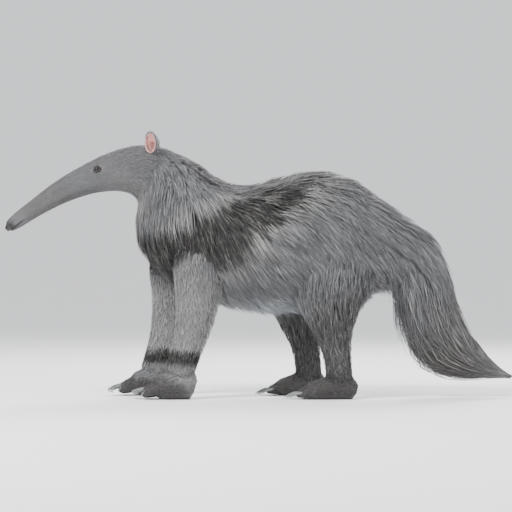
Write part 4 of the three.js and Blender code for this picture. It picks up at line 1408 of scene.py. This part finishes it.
coat["coatCrest"] = dict(
    body=trunk, stations=(7.6, 15.6), arc=(-0.45, 0.45), count=4300, rings=4,
    length=[(7.6, 0.045), (9, 0.075), (11, 0.095), (13, 0.105), (15.6, 0.12)], scatter=0.2,
    width=0.004, tip=(0.6, 1.2), lift=(1.4, 3.4), clump=(0.035, 0.5), seed=9.0, sway=0.1,
)
coat["coatBelly"] = dict(
    body=trunk, stations=(9.2, 15.6), arc=(halfTurn - 0.6, halfTurn + 0.6), count=3600, rings=3,
    length=[(9.2, 0.06), (12, 0.065), (15.6, 0.09)], hang=0.012, scatter=0.3,
    width=0.004, tip=(0.45, 1.0), clump=(0.035, 0.5), hiddenIn=allLegs, seed=12.0,
)
coat["coatTailTop"] = dict(
    body=trunk, stations=(15.1, 18.4), arc=(-halfTurn, halfTurn), count=7500, rings=4,
    length=[(15.1, 0.12), (16, 0.17), (18.4, 0.22)], scatter=0.3, curl=0.25, hang=0.006,
    width=0.0042, tip=(0.25, 1.12), lift=(1.1, 4.5), clump=(0.055, 0.62), seed=15.0,
)
coat["coatTailEnd"] = dict(
    body=trunk, stations=(18.2, 21.6), arc=(-halfTurn, halfTurn), count=6800, rings=4,
    length=[(18.2, 0.22), (19.5, 0.2), (20.5, 0.15), (21.6, 0.09)], scatter=0.3, curl=0.25, past=0.012,
    width=0.0038, tip=(0.25, 1.12), lift=(1.1, 4.5), clump=(0.045, 0.62), seed=18.0, mostReach=2.6,
)
for sideName, side, _, _ in bothSides:
    foreleg, hindleg = legs["foreleg" + sideName], legs["hindleg" + sideName]
    coat["coatForeleg" + sideName] = dict(
        body=foreleg, stations=(0.2, 5.4), arc=(-halfTurn, halfTurn), count=5000, rings=2,
        length=[(0.2, 0.045), (2, 0.032), (4, 0.02), (5.95, 0.012)], hiddenIn=[trunk], mostReach=0.8,
        width=0.0024, tip=(0.5, 1.05), clump=(0.018, 0.35), seed=21.0 + side, scatter=0.08, curl=0.04,
    )
    coat["coatHindleg" + sideName] = dict(
        body=hindleg, stations=(0.2, 6.3), arc=(-halfTurn, halfTurn), count=5400, rings=3,
        length=[(0.2, 0.07), (2, 0.065), (3.5, 0.05), (4.5, 0.028), (6.95, 0.012)], hiddenIn=[trunk],
        width=0.0029, tip=(0.45, 1.06), clump=(0.028, 0.4), seed=25.0 + side, mostReach=1.4,
        scatter=0.08, curl=0.04,
    )
    # short hair laid onto the skin as it was built
    for name, kind, body in (("Wrist", "fore", foreleg), ("Ankle", "hind", hindleg)):
        coat["coat" + name + sideName] = dict(
            body=body, stations=(body["last"] - 1.1, body["last"]), arc=(-halfTurn, halfTurn),
            length=[(4, 0.016), (6, 0.014), (7, 0.013)], count=1300, rings=2, rise=0.0046, past=0.05,
            width=0.002, tip=(0, 0.1), clump=(0.014, 0.3), seed=40.0 + side, mostReach=0.6, scatter=0.1,
            hiddenIn=[legs[kind + "foot" + sideName]],
        )
    for kind in ("fore", "hind"):
        coat["coat" + kind.title() + "foot" + sideName] = dict(
            body=legs[kind + "foot" + sideName], stations=(0.25, 4.9), arc=(-2.1, 2.1), slot="foot",
            length=[(0.2, 0.006), (2, 0.009), (5, 0.011)], count=2000, rings=2, rise=0.0024,
            width=0.0014, tip=(0, 0.1), clump=(0.012, 0.3), seed=30.0 + side, mostReach=0.5,
            hiddenIn=[legs[kind + "leg" + sideName]],
        )
for name, d in coat.items():
    growCoat(name, d)
growEarHair("coatEars", earHair)
print("coat:", len(coat) + 1, "pieces")


# floor, light and camera
studio = dict(
    floorTone=(0.94, 0.94, 0.94, 1), worldTone=(0.95, 0.97, 1.0, 1), worldStrength=1.08,
    flatTo=6.9, bend=10.0, rise=6.0, sides=72,
)
camera = dict(distance=6.6, height=0.402, wide=1.459, sensor=36)


def makeStage():
    # a round sheet under the animal that bends up far off on every side
    d = studio
    profile = [(0.5, 0.0), (2.0, 0.0), (d["flatTo"], 0.0)]
    for turn in np.linspace(0.06, 1, 24) * halfTurn / 2:
        profile.append((d["flatTo"] + d["bend"] * math.sin(turn), d["rise"] * (1 - math.cos(turn))))
    points = [(0.0, 0.0, 0.0)]
    for r, z in profile:
        points += [(r * math.cos(a), r * math.sin(a), z) for a in circle(d["sides"])]
    count, faces = d["sides"], []
    for k in range(count):
        faces.append((0, 1 + k, 1 + (k + 1) % count))
        for i in range(len(profile) - 1):
            low, high = 1 + i * count, 1 + (i + 1) * count
            faces.append((low + k, high + k, high + (k + 1) % count, low + (k + 1) % count))
    sheet = meshPiece("studioFloor", points, faces)
    material, _, shader = newMaterial("studioPaper", {"Roughness": 0.9, "Specular IOR Level": 0.2})
    shader.inputs["Base Color"].default_value = d["floorTone"]
    sheet.data.materials.append(material)


def addLight(name, place, aim, size, power):
    light = bpy.data.lights.new(name, "AREA")
    light.shape = "DISK"
    light.size = size
    light.energy = power
    lamp = bpy.data.objects.new(name, light)
    lamp.location = place
    lamp.rotation_euler = (Vector(aim) - Vector(place)).to_track_quat("-Z", "Y").to_euler()
    bpy.context.scene.collection.objects.link(lamp)


makeStage()
world = bpy.data.worlds.new("studio")
bpy.context.scene.world = world
world.use_nodes = True
sky = world.node_tree.nodes["Background"]
sky.inputs["Color"].default_value = studio["worldTone"]
sky.inputs["Strength"].default_value = studio["worldStrength"]
addLight("key", (-2.2, -2.6, 3.6), (0, 0, 0.35), 1.3, 330)
addLight("fill", (3.4, -3.0, 1.6), (0, 0, 0.35), 2.4, 70)
addLight("rim", (0.8, 2.4, 2.8), (0, 0, 0.45), 1.8, 150)
lens = bpy.data.cameras.new("view")
lens.sensor_width = camera["sensor"]
lens.lens = camera["sensor"] * camera["distance"] / camera["wide"]
viewer = bpy.data.objects.new("view", lens)
viewer.location = (0, -camera["distance"], camera["height"])
viewer.rotation_euler = (halfTurn / 2, 0, 0)
bpy.context.scene.collection.objects.link(viewer)
bpy.context.scene.camera = viewer
print("studio ready")
